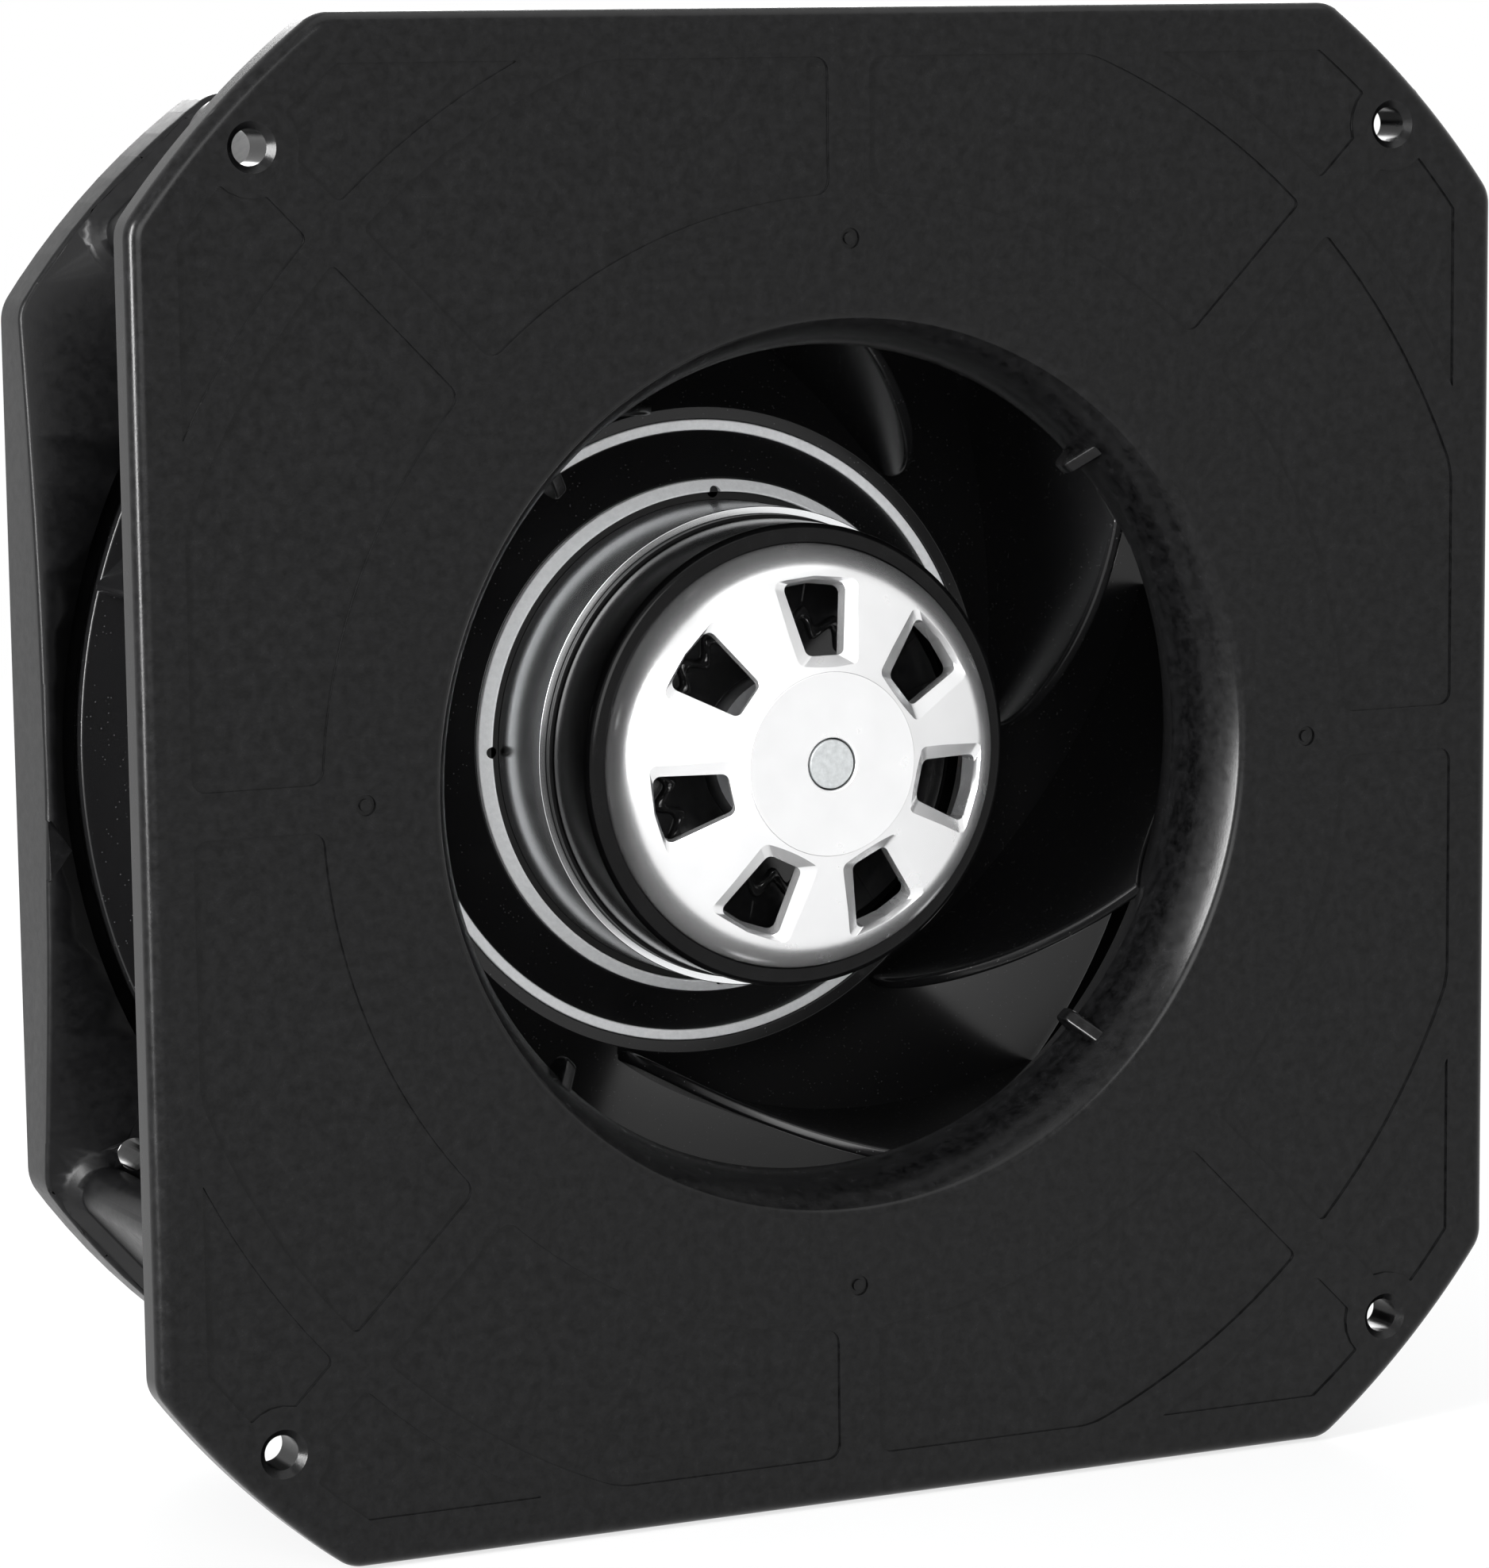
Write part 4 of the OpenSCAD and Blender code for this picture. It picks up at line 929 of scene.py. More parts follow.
@dataclass
class Studio:
    """Pale floor, plain background and soft light, in metres."""

    floor_depth: float = -0.1505
    floor_size: float = 40.0
    floor_tone: Colour = (0.92, 0.92, 0.92)
    floor_rough: float = 0.9
    fill: float = 0.25
    fill_tone: Colour = (0.95, 0.97, 1.0)
    shadow_reach: float = 1.6
    shadow_share: float = 0.3
    aim: tuple[float, float, float] = (0.0, 0.04, 0.0)
    lamps: tuple[Lamp, ...] = (
        Lamp("left_strip", (-1.7, -0.55, 0.1), (0.35, 2.0), 125.0),
        Lamp("top_softbox", (0.2, -0.4, 1.6), (1.6, 1.2), 6.0),
        Lamp("front_softbox", (-0.7, -2.2, 0.6), (1.4, 1.2), 26.0),
        Lamp("back_softbox", (0.9, 2.0, 1.0), (1.6, 1.4), 60.0),
    )

    def build(self) -> None:
        """Makes the world, the floor and the lights."""
        scene = bpy.context.scene
        scene.view_settings.view_transform = "Standard"
        self.world(scene)
        self.floor()
        for lamp in self.lamps:
            lamp.build(Vector(self.aim))

    @staticmethod
    def seen(tree: bpy.types.NodeTree) -> bpy.types.Node:
        """Adds a mask of what the camera sees, straight or in a mirror.

        Args:
            tree: The node tree.

        Returns:
            The node with the mask.
        """
        rays = Wiring.node(tree, "LightPath")
        seen = Wiring.maths(tree, "ADD", clamp=True)
        Wiring.link(tree, (rays, "Is Camera Ray", seen, 0), (rays, "Is Glossy Ray", seen, 1))
        return seen

    def world(self, scene: bpy.types.Scene) -> None:
        """Makes a world that is white to the camera and in mirrors, and a soft grey fill otherwise.

        Args:
            scene: The scene.
        """
        world = bpy.data.worlds.new("studio")
        world.use_nodes = True
        scene.world = world
        tree = world.node_tree
        fill = tree.nodes["Background"]
        fill.inputs["Color"].default_value = (*self.fill_tone, 1.0)
        fill.inputs["Strength"].default_value = self.fill
        white = Wiring.node(tree, "Background", {"Color": (1.0, 1.0, 1.0, 1.0), "Strength": 1.0})
        mix = Wiring.node(tree, "MixShader")
        Wiring.link(
            tree,
            (self.seen(tree), "Value", mix, "Fac"),
            (fill, "Background", mix, 1), (white, "Background", mix, 2),
            (mix, "Shader", tree.nodes["World Output"], "Surface"))

    def floor(self) -> None:
        """Makes the pale floor, which keeps the object's shadow."""
        bpy.ops.object.select_all(action="DESELECT")
        bpy.ops.mesh.primitive_plane_add(size=self.floor_size, location=(0, 0, self.floor_depth))
        floor = bpy.context.object
        floor.name = "studio_floor"
        pale = bpy.data.materials.new("studio_floor")
        pale.use_nodes = True
        shader = pale.node_tree.nodes["Principled BSDF"]
        shader.inputs["Base Color"].default_value = (*self.floor_tone, 1.0)
        shader.inputs["Roughness"].default_value = self.floor_rough
        self.fade(pale.node_tree, shader)
        floor.data.materials.append(pale)

    def fade(self, tree: bpy.types.NodeTree, shader: bpy.types.Node) -> None:
        """Lets the floor go over into the white background away from the object.

        Args:
            tree: The floor's node tree.
            shader: The floor's own shader, which keeps the shadow.
        """
        place = Wiring.node(tree, "TexCoord")
        scale = Wiring.node(tree, "Mapping", {"Scale": (1 / self.shadow_reach,) * 3})
        near = Wiring.node(tree, "TexGradient")
        near.gradient_type = "SPHERICAL"
        share = Wiring.node(tree, "MapRange", {"To Min": 1.0, "To Max": 1.0 - self.shadow_share})
        part = Wiring.maths(tree, "MULTIPLY")
        white = Wiring.node(tree, "Emission")
        mix = Wiring.node(tree, "MixShader")
        Wiring.link(
            tree,
            (place, "Object", scale, "Vector"), (scale, "Vector", near, "Vector"),
            (near, "Fac", share, "Value"),
            (self.seen(tree), "Value", part, 0), (share, "Result", part, 1),
            (part, "Value", mix, "Fac"), (shader, "BSDF", mix, 1), (white, "Emission", mix, 2),
            (mix, "Shader", tree.nodes["Material Output"], "Surface"))


def deliver(obj: bpy.types.Object, body: Body, finish: Finish, *nodes: str,
            slot: Optional[str] = None) -> None:
    """Dresses a finished piece, seats it on its body and swaps it for its solids.

    Args:
        obj: The piece.
        body: The body that it rides on.
        finish: Its finish.
        nodes: The solids that it stands for.
        slot: The record's material slot, where it isn't the finish's own name; not used.
    """
    finish.dress(obj)
    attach(obj, body.value)
    if nodes:
        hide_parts(*nodes)
    LOG.info("%s: %d faces, rides on %s", obj.name, len(obj.data.polygons), body.value)


@dataclass
class SquareBlank:
    """A square with arc-cut corners whose eight outline corners are rounded."""

    size: float
    radius: float
    corner: float
    least_corner: float = 0.2
    corner_room: float = 2.2
    corner_steps: int = 6
    arc_steps: int = 28
    edge_steps: int = 8

    def outline(self, inset: float) -> list[Point]:
        """Gives the outline, going round.

        Args:
            inset: Distance inwards from the blank's own outline, in millimetres.

        Returns:
            X and Z of its points.
        """
        half = self.size / 2 - inset
        radius = self.radius - inset
        fillet = max(self.corner - inset, self.least_corner)
        start = math.acos(half / radius)
        skip = self.corner_room * fillet * math.tan(start / 2) / radius
        span = math.pi / 2 - 2 * (start + skip)
        between = [start + skip + span * k / self.arc_steps for k in range(self.arc_steps + 1)]
        angles = [start, *between, math.pi / 2 - start]
        corners = []
        for quarter in range(4):
            for angle in angles:
                turned = angle + quarter * math.pi / 2
                size = fillet if angle in (angles[0], angles[-1]) else 0.0
                corners.append((radius * math.cos(turned), radius * math.sin(turned), size))
        return rounded(corners, self.corner_steps)

    def build(self, name: str, front: float, back: float, edge: float = 0.0) -> bpy.types.Object:
        """Makes the blank between two depths.

        Args:
            name: Name of the object.
            front: Depth of its front.
            back: Depth of its back.
            edge: Fillet around its front, in millimetres.

        Returns:
            The blank.
        """
        levels = [(back, 0.0), (front + edge, 0.0)]
        if edge > 0:
            for k in range(1, self.edge_steps + 1):
                angle = k * math.pi / 2 / self.edge_steps
                levels.append((front + edge * (1 - math.sin(angle)), edge * (1 - math.cos(angle))))
        return Bench.loft(name, [
            [Vector((x, depth, z)) for x, z in self.outline(inset)] for depth, inset in levels])


@dataclass
class InletPlate:
    """The square plate with its panels, mounting holes, bell nozzle and fins."""

    size: float = 300.0
    corner_radius: float = 186.5
    corner_round: float = 7.5
    depth: float = 7.5
    skin: float = 3.5
    rim: float = 3.0
    edge_round: float = 3.0
    pocket_past: float = 10.0
    hole_pitch: float = 250.0
    hole_radius: float = 3.5
    hole_past: float = 3.0
    hole_steps: int = 48
    chamfer_radius: float = 4.9
    boss_radius: float = 9.5
    boss_depth: float = 10.0
    panel_depth: float = 0.5
    panel_inset: float = 9.7
    panel_rib: float = 9.0
    panel_inner: float = 113.7
    panel_outer: float = 150.3
    panel_past: float = 2.0
    panel_steps: int = 160
    corner_panel: float = 157.0
    panel_round: float = 2.8
    panel_foot: float = 0.3
    panel_bend: float = 60.0
    ring_steps: int = 24
    mark_circle: float = 105.0
    mark_outer: float = 2.05
    mark_inner: float = 1.2
    mark_past: float = 1.0
    mark_steps: int = 40
    throat: float = 83.5
    throat_cut: Point = (-5.0, 20.0)
    bell_depth: float = 18.5
    bell_arc: float = 30.0
    bell_end: float = 0.5
    bell_steps: int = 26
    mouth_arc: float = 2.5
    mouth_steps: int = 12
    bell_wall: float = 2.0
    turn_steps: int = 256
    fin_count: int = 4
    fin_thickness: float = 3.0
    fin_height: float = 4.0
    fin_nose: float = 4.5
    fin_nose_rounds: Point = (1.8, 3.0)
    fin_foot: Corner = (92.0, 1.2, 2.0)
    fin_root: Point = (94.0, 3.5)
    fin_sink: float = 1.0
    fin_edge: float = 0.7
    fin_bend: float = 50.0
    post_circle: float = 152.5
    post_turn: float = -3.3
    post_span: float = 25.0
    post_gap: float = 0.02
    seat_round: float = 7.0
    seat_steps: int = 16
    skirt: float = 106.0
    skirt_lap: float = 6.0

    def build(self) -> None:
        """Builds and delivers the plate."""
        blank = SquareBlank(self.size, self.corner_radius, self.corner_round)
        plate = blank.build("inlet_plate_skin", 0, self.depth, self.edge_round)
        pocket = SquareBlank(
            self.size - 2 * self.rim, self.corner_radius - self.rim, self.corner_round - self.rim)
        Bench.carve(plate, pocket.build("pocket", self.skin, self.depth + self.pocket_past), Cut.TAKE)
        opening = Bench.drum("throat", self.skirt - self.skirt_lap, *self.throat_cut, self.turn_steps)
        Bench.carve(plate, opening, Cut.TAKE)
        Bench.carve(plate, self.nozzle(), Cut.ADD)
        Bench.carve(plate, self.seats(), Cut.ADD, loose=True)
        Bench.carve(plate, self.cutters(), Cut.TAKE)
        fins = Bench.copies(self.fin(), self.fin_count, 45.0)
        plate = Bench.join([plate, *fins], "inlet_plate_skin")
        Bench.smooth(plate)
        deliver(plate, Body.FRAME, PLATE, "inlet_plate")

    def hole_places(self) -> list[Point]:
        """Gives the places of the mounting holes.

        Returns:
            X and Z of each hole, in millimetres.
        """
        half = self.hole_pitch / 2
        return [(x, z) for x in (-half, half) for z in (-half, half)]

    def nozzle(self) -> bpy.types.Object:
        """Turns the bell nozzle with its flat skirt.

        Returns:
            The nozzle.
        """
        centre = (self.throat + self.bell_arc, self.bell_depth)
        reach = self.bell_arc - self.mouth_arc
        drop = self.bell_depth - self.mouth_arc
        mouth = (centre[0] - math.sqrt(reach ** 2 - drop ** 2), self.mouth_arc)
        meet = 180 + math.degrees(math.asin(drop / reach))
        outer = self.bell_arc - self.bell_wall
        back = 180 + math.degrees(math.asin((self.bell_depth - self.skin) / outer))
        outline = sharp([(self.skirt, 0.0)])
        outline += sharp(arc(mouth, self.mouth_arc, 270, meet, self.mouth_steps))
        outline += sharp(arc(centre, self.bell_arc, meet, 180, self.bell_steps)[1:-1])
        outline += [(self.throat, self.bell_depth, self.bell_end),
                    (self.throat + self.bell_wall, self.bell_depth, self.bell_end)]
        outline += sharp(arc(centre, outer, 180, back, self.bell_steps)[1:])
        outline += sharp([(self.skirt, self.skin)])
        return Bench.turned("nozzle", rounded(outline, 3), self.turn_steps)

    def seats(self) -> bpy.types.Object:
        """Makes the bosses at the holes and the seats of the posts, on the plate's back.

        Returns:
            The joined seats.
        """
        front = self.skin / 2
        back = self.depth - self.post_gap
        pieces = [Bench.drum("boss", self.boss_radius, front, self.boss_depth, self.hole_steps, place)
                  for place in self.hole_places()]
        outline = []
        for side in (1, -1):
            for k in range(self.seat_steps + 1):
                angle = math.radians(90 * (1 - side) + k * 180 / self.seat_steps)
                outline.append(Vector((self.post_circle + self.seat_round * math.cos(angle), front,
                                       side * self.post_span / 2 + self.seat_round * math.sin(angle))))
        seat = Bench.prism("seat", outline, (0, back - front, 0))
        pieces += Bench.copies(seat, 4, 45.0 + self.post_turn)
        return Bench.join(pieces, "seats")

    def cutters(self) -> bpy.types.Object:
        """Makes everything that is cut from the plate's face: panels, holes and marks.

        Returns:
            The joined cutters.
        """
        pieces = [self.panels()]
        chamfer = self.chamfer_radius - self.hole_radius
        back = self.boss_depth + self.hole_past
        for x, z in self.hole_places():
            hole = Bench.turned("hole", [
                (0.0, -self.hole_past), (self.chamfer_radius + self.hole_past, -self.hole_past),
                (self.hole_radius, chamfer), (self.hole_radius, back), (0.0, back)], self.hole_steps)
            hole.location = (x * MM, 0, z * MM)
            Bench.settle(hole)
            pieces.append(hole)
        mark = Bench.turned("mark", [
            (self.mark_inner, -self.mark_past), (self.mark_outer, -self.mark_past),
            (self.mark_outer, self.panel_depth), (self.mark_inner, self.panel_depth)], self.mark_steps)
        mark.location = (self.mark_circle * MM, 0, 0)
        Bench.settle(mark)
        pieces += Bench.copies(mark, 4)
        return Bench.join(pieces, "face_cutters")

    def panels(self) -> bpy.types.Object:
        """Makes the shallow panels as one cutter with rounded corners and a rounded foot.

        Returns:
            The cutter.
        """
        front, back = -self.panel_past, self.panel_depth
        ends = (front - self.panel_past, back + self.panel_past)
        sheet = SquareBlank(self.size - 2 * self.panel_inset, self.corner_radius - self.panel_inset, 0.0)
        cutter = sheet.build("panels", front, back)
        Bench.carve(cutter, Bench.drum("inner", self.panel_inner, *ends, self.panel_steps), Cut.TAKE)
        band = Bench.turned("band", [
            (self.panel_outer, ends[0]), (self.corner_panel, ends[0]),
            (self.corner_panel, ends[1]), (self.panel_outer, ends[1])], self.panel_steps)
        Bench.carve(cutter, band, Cut.TAKE)
        for angle in (0, 45, 90, 135):
            rib = Bench.block("rib", Vector((-self.size, ends[0], -self.panel_rib / 2)),
                              Vector((self.size, ends[1], self.panel_rib / 2)))
            rib.rotation_euler = (0, math.radians(angle), 0)
            Bench.settle(rib)
            Bench.carve(cutter, rib, Cut.TAKE)
        for place in self.hole_places():
            around_hole = Bench.drum("round", self.boss_radius, *ends, self.ring_steps, place)
            Bench.carve(cutter, around_hole, Cut.TAKE)
        Bench.soften_each(cutter, self.upright_corner, self.panel_round, 5)
        Bench.soften(cutter, self.foot_edge, self.panel_foot, 2)
        return cutter

    @staticmethod
    def upright_corner(one: Vector, two: Vector, bend: float) -> bool:
        """Tells whether an edge is an upright corner of an outline.

        Args:
            one: One end, in millimetres.
            two: The other end.
            bend: Angle between its faces.

        Returns:
            Whether it is.
        """
        return bend > 20 and abs(one.x - two.x) < LEVEL and abs(one.z - two.z) < LEVEL

    def foot_edge(self, one: Vector, two: Vector, bend: float) -> bool:
        """Tells whether an edge lies around the foot of a panel.

        Args:
            one: One end, in millimetres.
            two: The other end.
            bend: Angle between its faces.

        Returns:
            Whether it does.
        """
        return bend > self.panel_bend and all(abs(end.y - self.panel_depth) < LEVEL for end in (one, two))

    def fin(self) -> bpy.types.Object:
        """Makes one fin in the nozzle: a thin plate with a round nose.

        Returns:
            The fin, standing at the angle 0.
        """
        nose = self.throat - self.fin_height
        root = self.throat + self.fin_sink
        outline = rounded([
            (nose, self.bell_depth, self.fin_nose_rounds[0]),
            (nose, self.bell_depth - self.fin_nose, self.fin_nose_rounds[1]),
            self.fin_foot, (*self.fin_root, 0.0),
            (root, self.bell_depth - self.fin_sink, 0.0), (root, self.bell_depth, 0.0)], 6)
        side = -self.fin_thickness / 2
        fin = Bench.prism("fin", [Vector((r, y, side)) for r, y in outline], (0, 0, self.fin_thickness))
        Bench.soften(fin, lambda one, two, bend: bend > self.fin_bend and abs(one.z - two.z) < LEVEL,
                     self.fin_edge, 3)
        return fin


@dataclass
class Impeller:
    """Hub with a curved back disc, blades, front shroud and the bright ring in the hub."""

    radius: float = 126.7
    rim_depth: float = 100.0
    rim_height: float = 5.0
    rim_wall: float = 2.5
    rim_front: float = 0.5
    rim_round: float = 0.8
    disc_start: float = 68.2
    disc_step: float = 0.5
    disc_wall: float = 3.0
    disc_steps: int = 44
    back_start: float = 2.0
    back_steps: int = 30
    hub_bore: float = 49.55
    hub_front: float = 66.0
    hub_back: float = 74.0
    hub_cone: float = 5.0
    hub_round: float = 0.2
    lip_radius: float = 53.75
    lip_depth: float = 64.4
    lip_round: float = 0.5
    flat_depth: float = 73.0
    groove: Point = (63.25, 65.55)
    groove_depth: float = 1.5
    groove_round: float = 0.3
    ring_gap: float = 0.05
    ring_steps: int = 192
    blade_count: int = 7
    blade_thickness: float = 2.6
    blade_curve: float = 130.7
    blade_centre: float = 68.65
    blade_turn: float = 139.4
    blade_round: float = 0.8
    blade_bend: float = 60.0
    blade_crease: float = 40.0
    lead_centre: Point = (118.0, 70.4)
    lead_curve: float = 48.45
    shroud_centre: Point = (132.2, 16.0)
    shroud_curve: float = 45.0
    shroud_wall: float = 2.5
    shroud_front: float = 14.0
    shroud_rounds: Point = (0.9, 0.8)
    shroud_steps: int = 40
    root: float = 0.25
    grid: tuple[int, int] = (44, 30)

    def __post_init__(self) -> None:
        """Works out the back disc's curve from its two ends."""
        run = self.radius - self.disc_start
        fall = self.rim_depth - self.flat_depth + self.disc_step
        self.disc_curve = (run ** 2 + fall ** 2) / (2 * fall)
        self.disc_centre = (self.radius, self.rim_depth - self.disc_curve)

    def build(self) -> None:
        """Builds and delivers the impeller's pieces."""
        deliver(Bench.smooth(self.disc()), Body.ROTOR, IMPELLER, "impeller_disc")
        deliver(Bench.smooth(self.shroud()), Body.ROTOR, IMPELLER, "impeller_shroud")
        blades = Bench.copies(self.blade(), self.blade_count, self.blade_turn)
        blade_set = Bench.smooth(Bench.join(blades, "impeller_blade_set"), self.blade_crease)
        deliver(blade_set, Body.ROTOR, IMPELLER, "impeller_blades")
        ring = Bench.ring(
            "hub_bright_ring", (self.groove[0] + self.ring_gap, self.groove[1] - self.ring_gap),
            (self.flat_depth, self.flat_depth + self.groove_depth),
            (self.groove_round, self.groove_round, 0.0, 0.0), 3, self.ring_steps)
        deliver(Bench.smooth(ring), Body.ROTOR, RING, "hub_ring", slot="bright_steel")

    def disc(self) -> bpy.types.Object:
        """Turns the hub and the curved back disc.

        Returns:
            The disc.
        """
        start = 180 - math.degrees(math.acos((self.radius - self.disc_start) / self.disc_curve))
        back = self.disc_curve + self.disc_wall
        rim_inner = self.radius - self.rim_wall
        rim_back = self.rim_depth + self.rim_height
        hub_edge = self.disc_start + self.back_start
        first = 180 - math.degrees(math.acos((self.radius - rim_inner) / back))
        last = 180 - math.degrees(math.acos((self.radius - hub_edge) / back))
        floor = self.flat_depth + self.groove_depth
        outline = [
            (self.hub_bore, self.hub_front, self.hub_round), (self.lip_radius, self.hub_front, 0.0),
            (self.lip_radius, self.lip_depth, self.lip_round),
            (self.groove[0], self.flat_depth, self.groove_round), (self.groove[0], floor, 0.0),
            (self.groove[1], floor, 0.0), (self.groove[1], self.flat_depth, self.groove_round),
            (self.disc_start, self.flat_depth, self.hub_round),
        ]
        outline += sharp(arc(self.disc_centre, self.disc_curve, start, 90, self.disc_steps)[:-1])
        outline += [(self.radius, self.rim_depth, self.rim_front), (self.radius, rim_back, self.rim_round),
                    (rim_inner, rim_back, self.rim_round)]
        outline += sharp(arc(self.disc_centre, back, first, last, self.back_steps))
        outline += [(self.groove[0], self.hub_back + self.hub_cone, 0.0),
                    (self.hub_bore, self.hub_back, self.hub_round)]
        return Bench.turned("impeller_back_disc", rounded(outline, 3), TURN_STEPS)

    def shroud(self) -> bpy.types.Object:
        """Turns the shroud's curved front ring.

        Returns:
            The shroud.
        """
        centre, outer = self.shroud_centre, self.shroud_curve
        inner = outer - self.shroud_wall
        lift = centre[1] - self.shroud_front
        reach = centre[0] - self.radius
        ends = [(180 + math.degrees(math.asin(lift / size)), 180 - math.degrees(math.acos(reach / size)))
                for size in (outer, inner)]
        front = arc(centre, outer, ends[0][0], ends[0][1], self.shroud_steps)
        rear = arc(centre, inner, ends[1][1], ends[1][0], self.shroud_steps)
        near, far = self.shroud_rounds
        outline = [(*front[0], near), *sharp(front[1:-1]), (*front[-1], far),
                   (*rear[0], far), *sharp(rear[1:-1]), (*rear[-1], near)]
        return Bench.turned("impeller_front_shroud", rounded(outline, 4), TURN_STEPS)

    def meet(self, centre: Point, radius: float) -> float:
        """Finds where the curve of the front edges meets another circle, on the side of the axis.

        Args:
            centre: The other circle's centre, as radius and depth.
            radius: The other circle's radius.

        Returns:
            The angle of that point on the curve of the front edges, in degrees.
        """
        one, two = Vector(self.lead_centre), Vector(centre)
        gap = two - one
        along = (gap.length_squared + self.lead_curve ** 2 - radius ** 2) / (2 * gap.length)
        side = math.sqrt(self.lead_curve ** 2 - along ** 2)
        way = gap.normalized()
        across = Vector((-way.y, way.x))
        points = [one + way * along + across * side, one + way * along - across * side]
        first = min(points, key=lambda point: point.x) - one
        return math.degrees(math.atan2(first.y, first.x)) % 360

    def section(self, along: float, across: float) -> Vector:
        """Radius and depth of a blade's point, between its four edges.

        Args:
            along: 0 at the front edge and 1 at the outer edge.
            across: 0 at the back disc and 1 at the shroud.

        Returns:
            Radius and depth, in millimetres.
        """
        disc = self.disc_curve + self.root
        shroud = self.shroud_curve - self.root
        lead = (self.meet(self.disc_centre, disc), self.meet(self.shroud_centre, shroud))
        corners = [on_circle(self.lead_centre, self.lead_curve, angle) for angle in lead]
        first = angle_on(self.disc_centre, corners[0])
        hub = on_circle(self.disc_centre, disc, 90 + (first - 90) * (1 - along))
        outer = 180 - math.degrees(math.acos((self.shroud_centre[0] - self.radius) / shroud))
        start = angle_on(self.shroud_centre, corners[1])
        tip = on_circle(self.shroud_centre, shroud, start + (outer - start) * along)
        front = on_circle(self.lead_centre, self.lead_curve, lead[0] + (lead[1] - lead[0]) * across)
        ends = [on_circle(self.disc_centre, disc, 90), on_circle(self.shroud_centre, shroud, outer)]
        back = ends[0].lerp(ends[1], across)
        flat = corners[0].lerp(corners[1], across).lerp(back, along)
        return hub.lerp(tip, across) + front.lerp(back, along) - flat

    def blade(self) -> bpy.types.Object:
        """Bends a grid into one blade and gives it its thickness and round edges.

        Returns:
            The blade, before its turn.
        """
        bpy.ops.object.select_all(action="DESELECT")
        bpy.ops.mesh.primitive_grid_add(x_subdivisions=self.grid[0], y_subdivisions=self.grid[1], size=2.0)
        blade = Bench.take("impeller_blade")
        for vertex in blade.data.vertices:
            point = self.section((vertex.co.x + 1) / 2, (vertex.co.y + 1) / 2)
            x = (point.x ** 2 + self.blade_centre ** 2 - self.blade_curve ** 2) / (2 * self.blade_centre)
            z = -math.sqrt(max(point.x ** 2 - x ** 2, 0.0))
            vertex.co = Vector((x, point.y, z)) * MM
        Bench.modify(blade, "SOLIDIFY", thickness=self.blade_thickness * MM, offset=0.0, use_even_offset=True)
        Bench.modify(blade, "BEVEL", width=self.blade_round * MM, segments=3, limit_method="ANGLE",
                     angle_limit=math.radians(self.blade_bend))
        Bench.edit(blade)
        Bench.weld()
        Bench.close()
        return blade


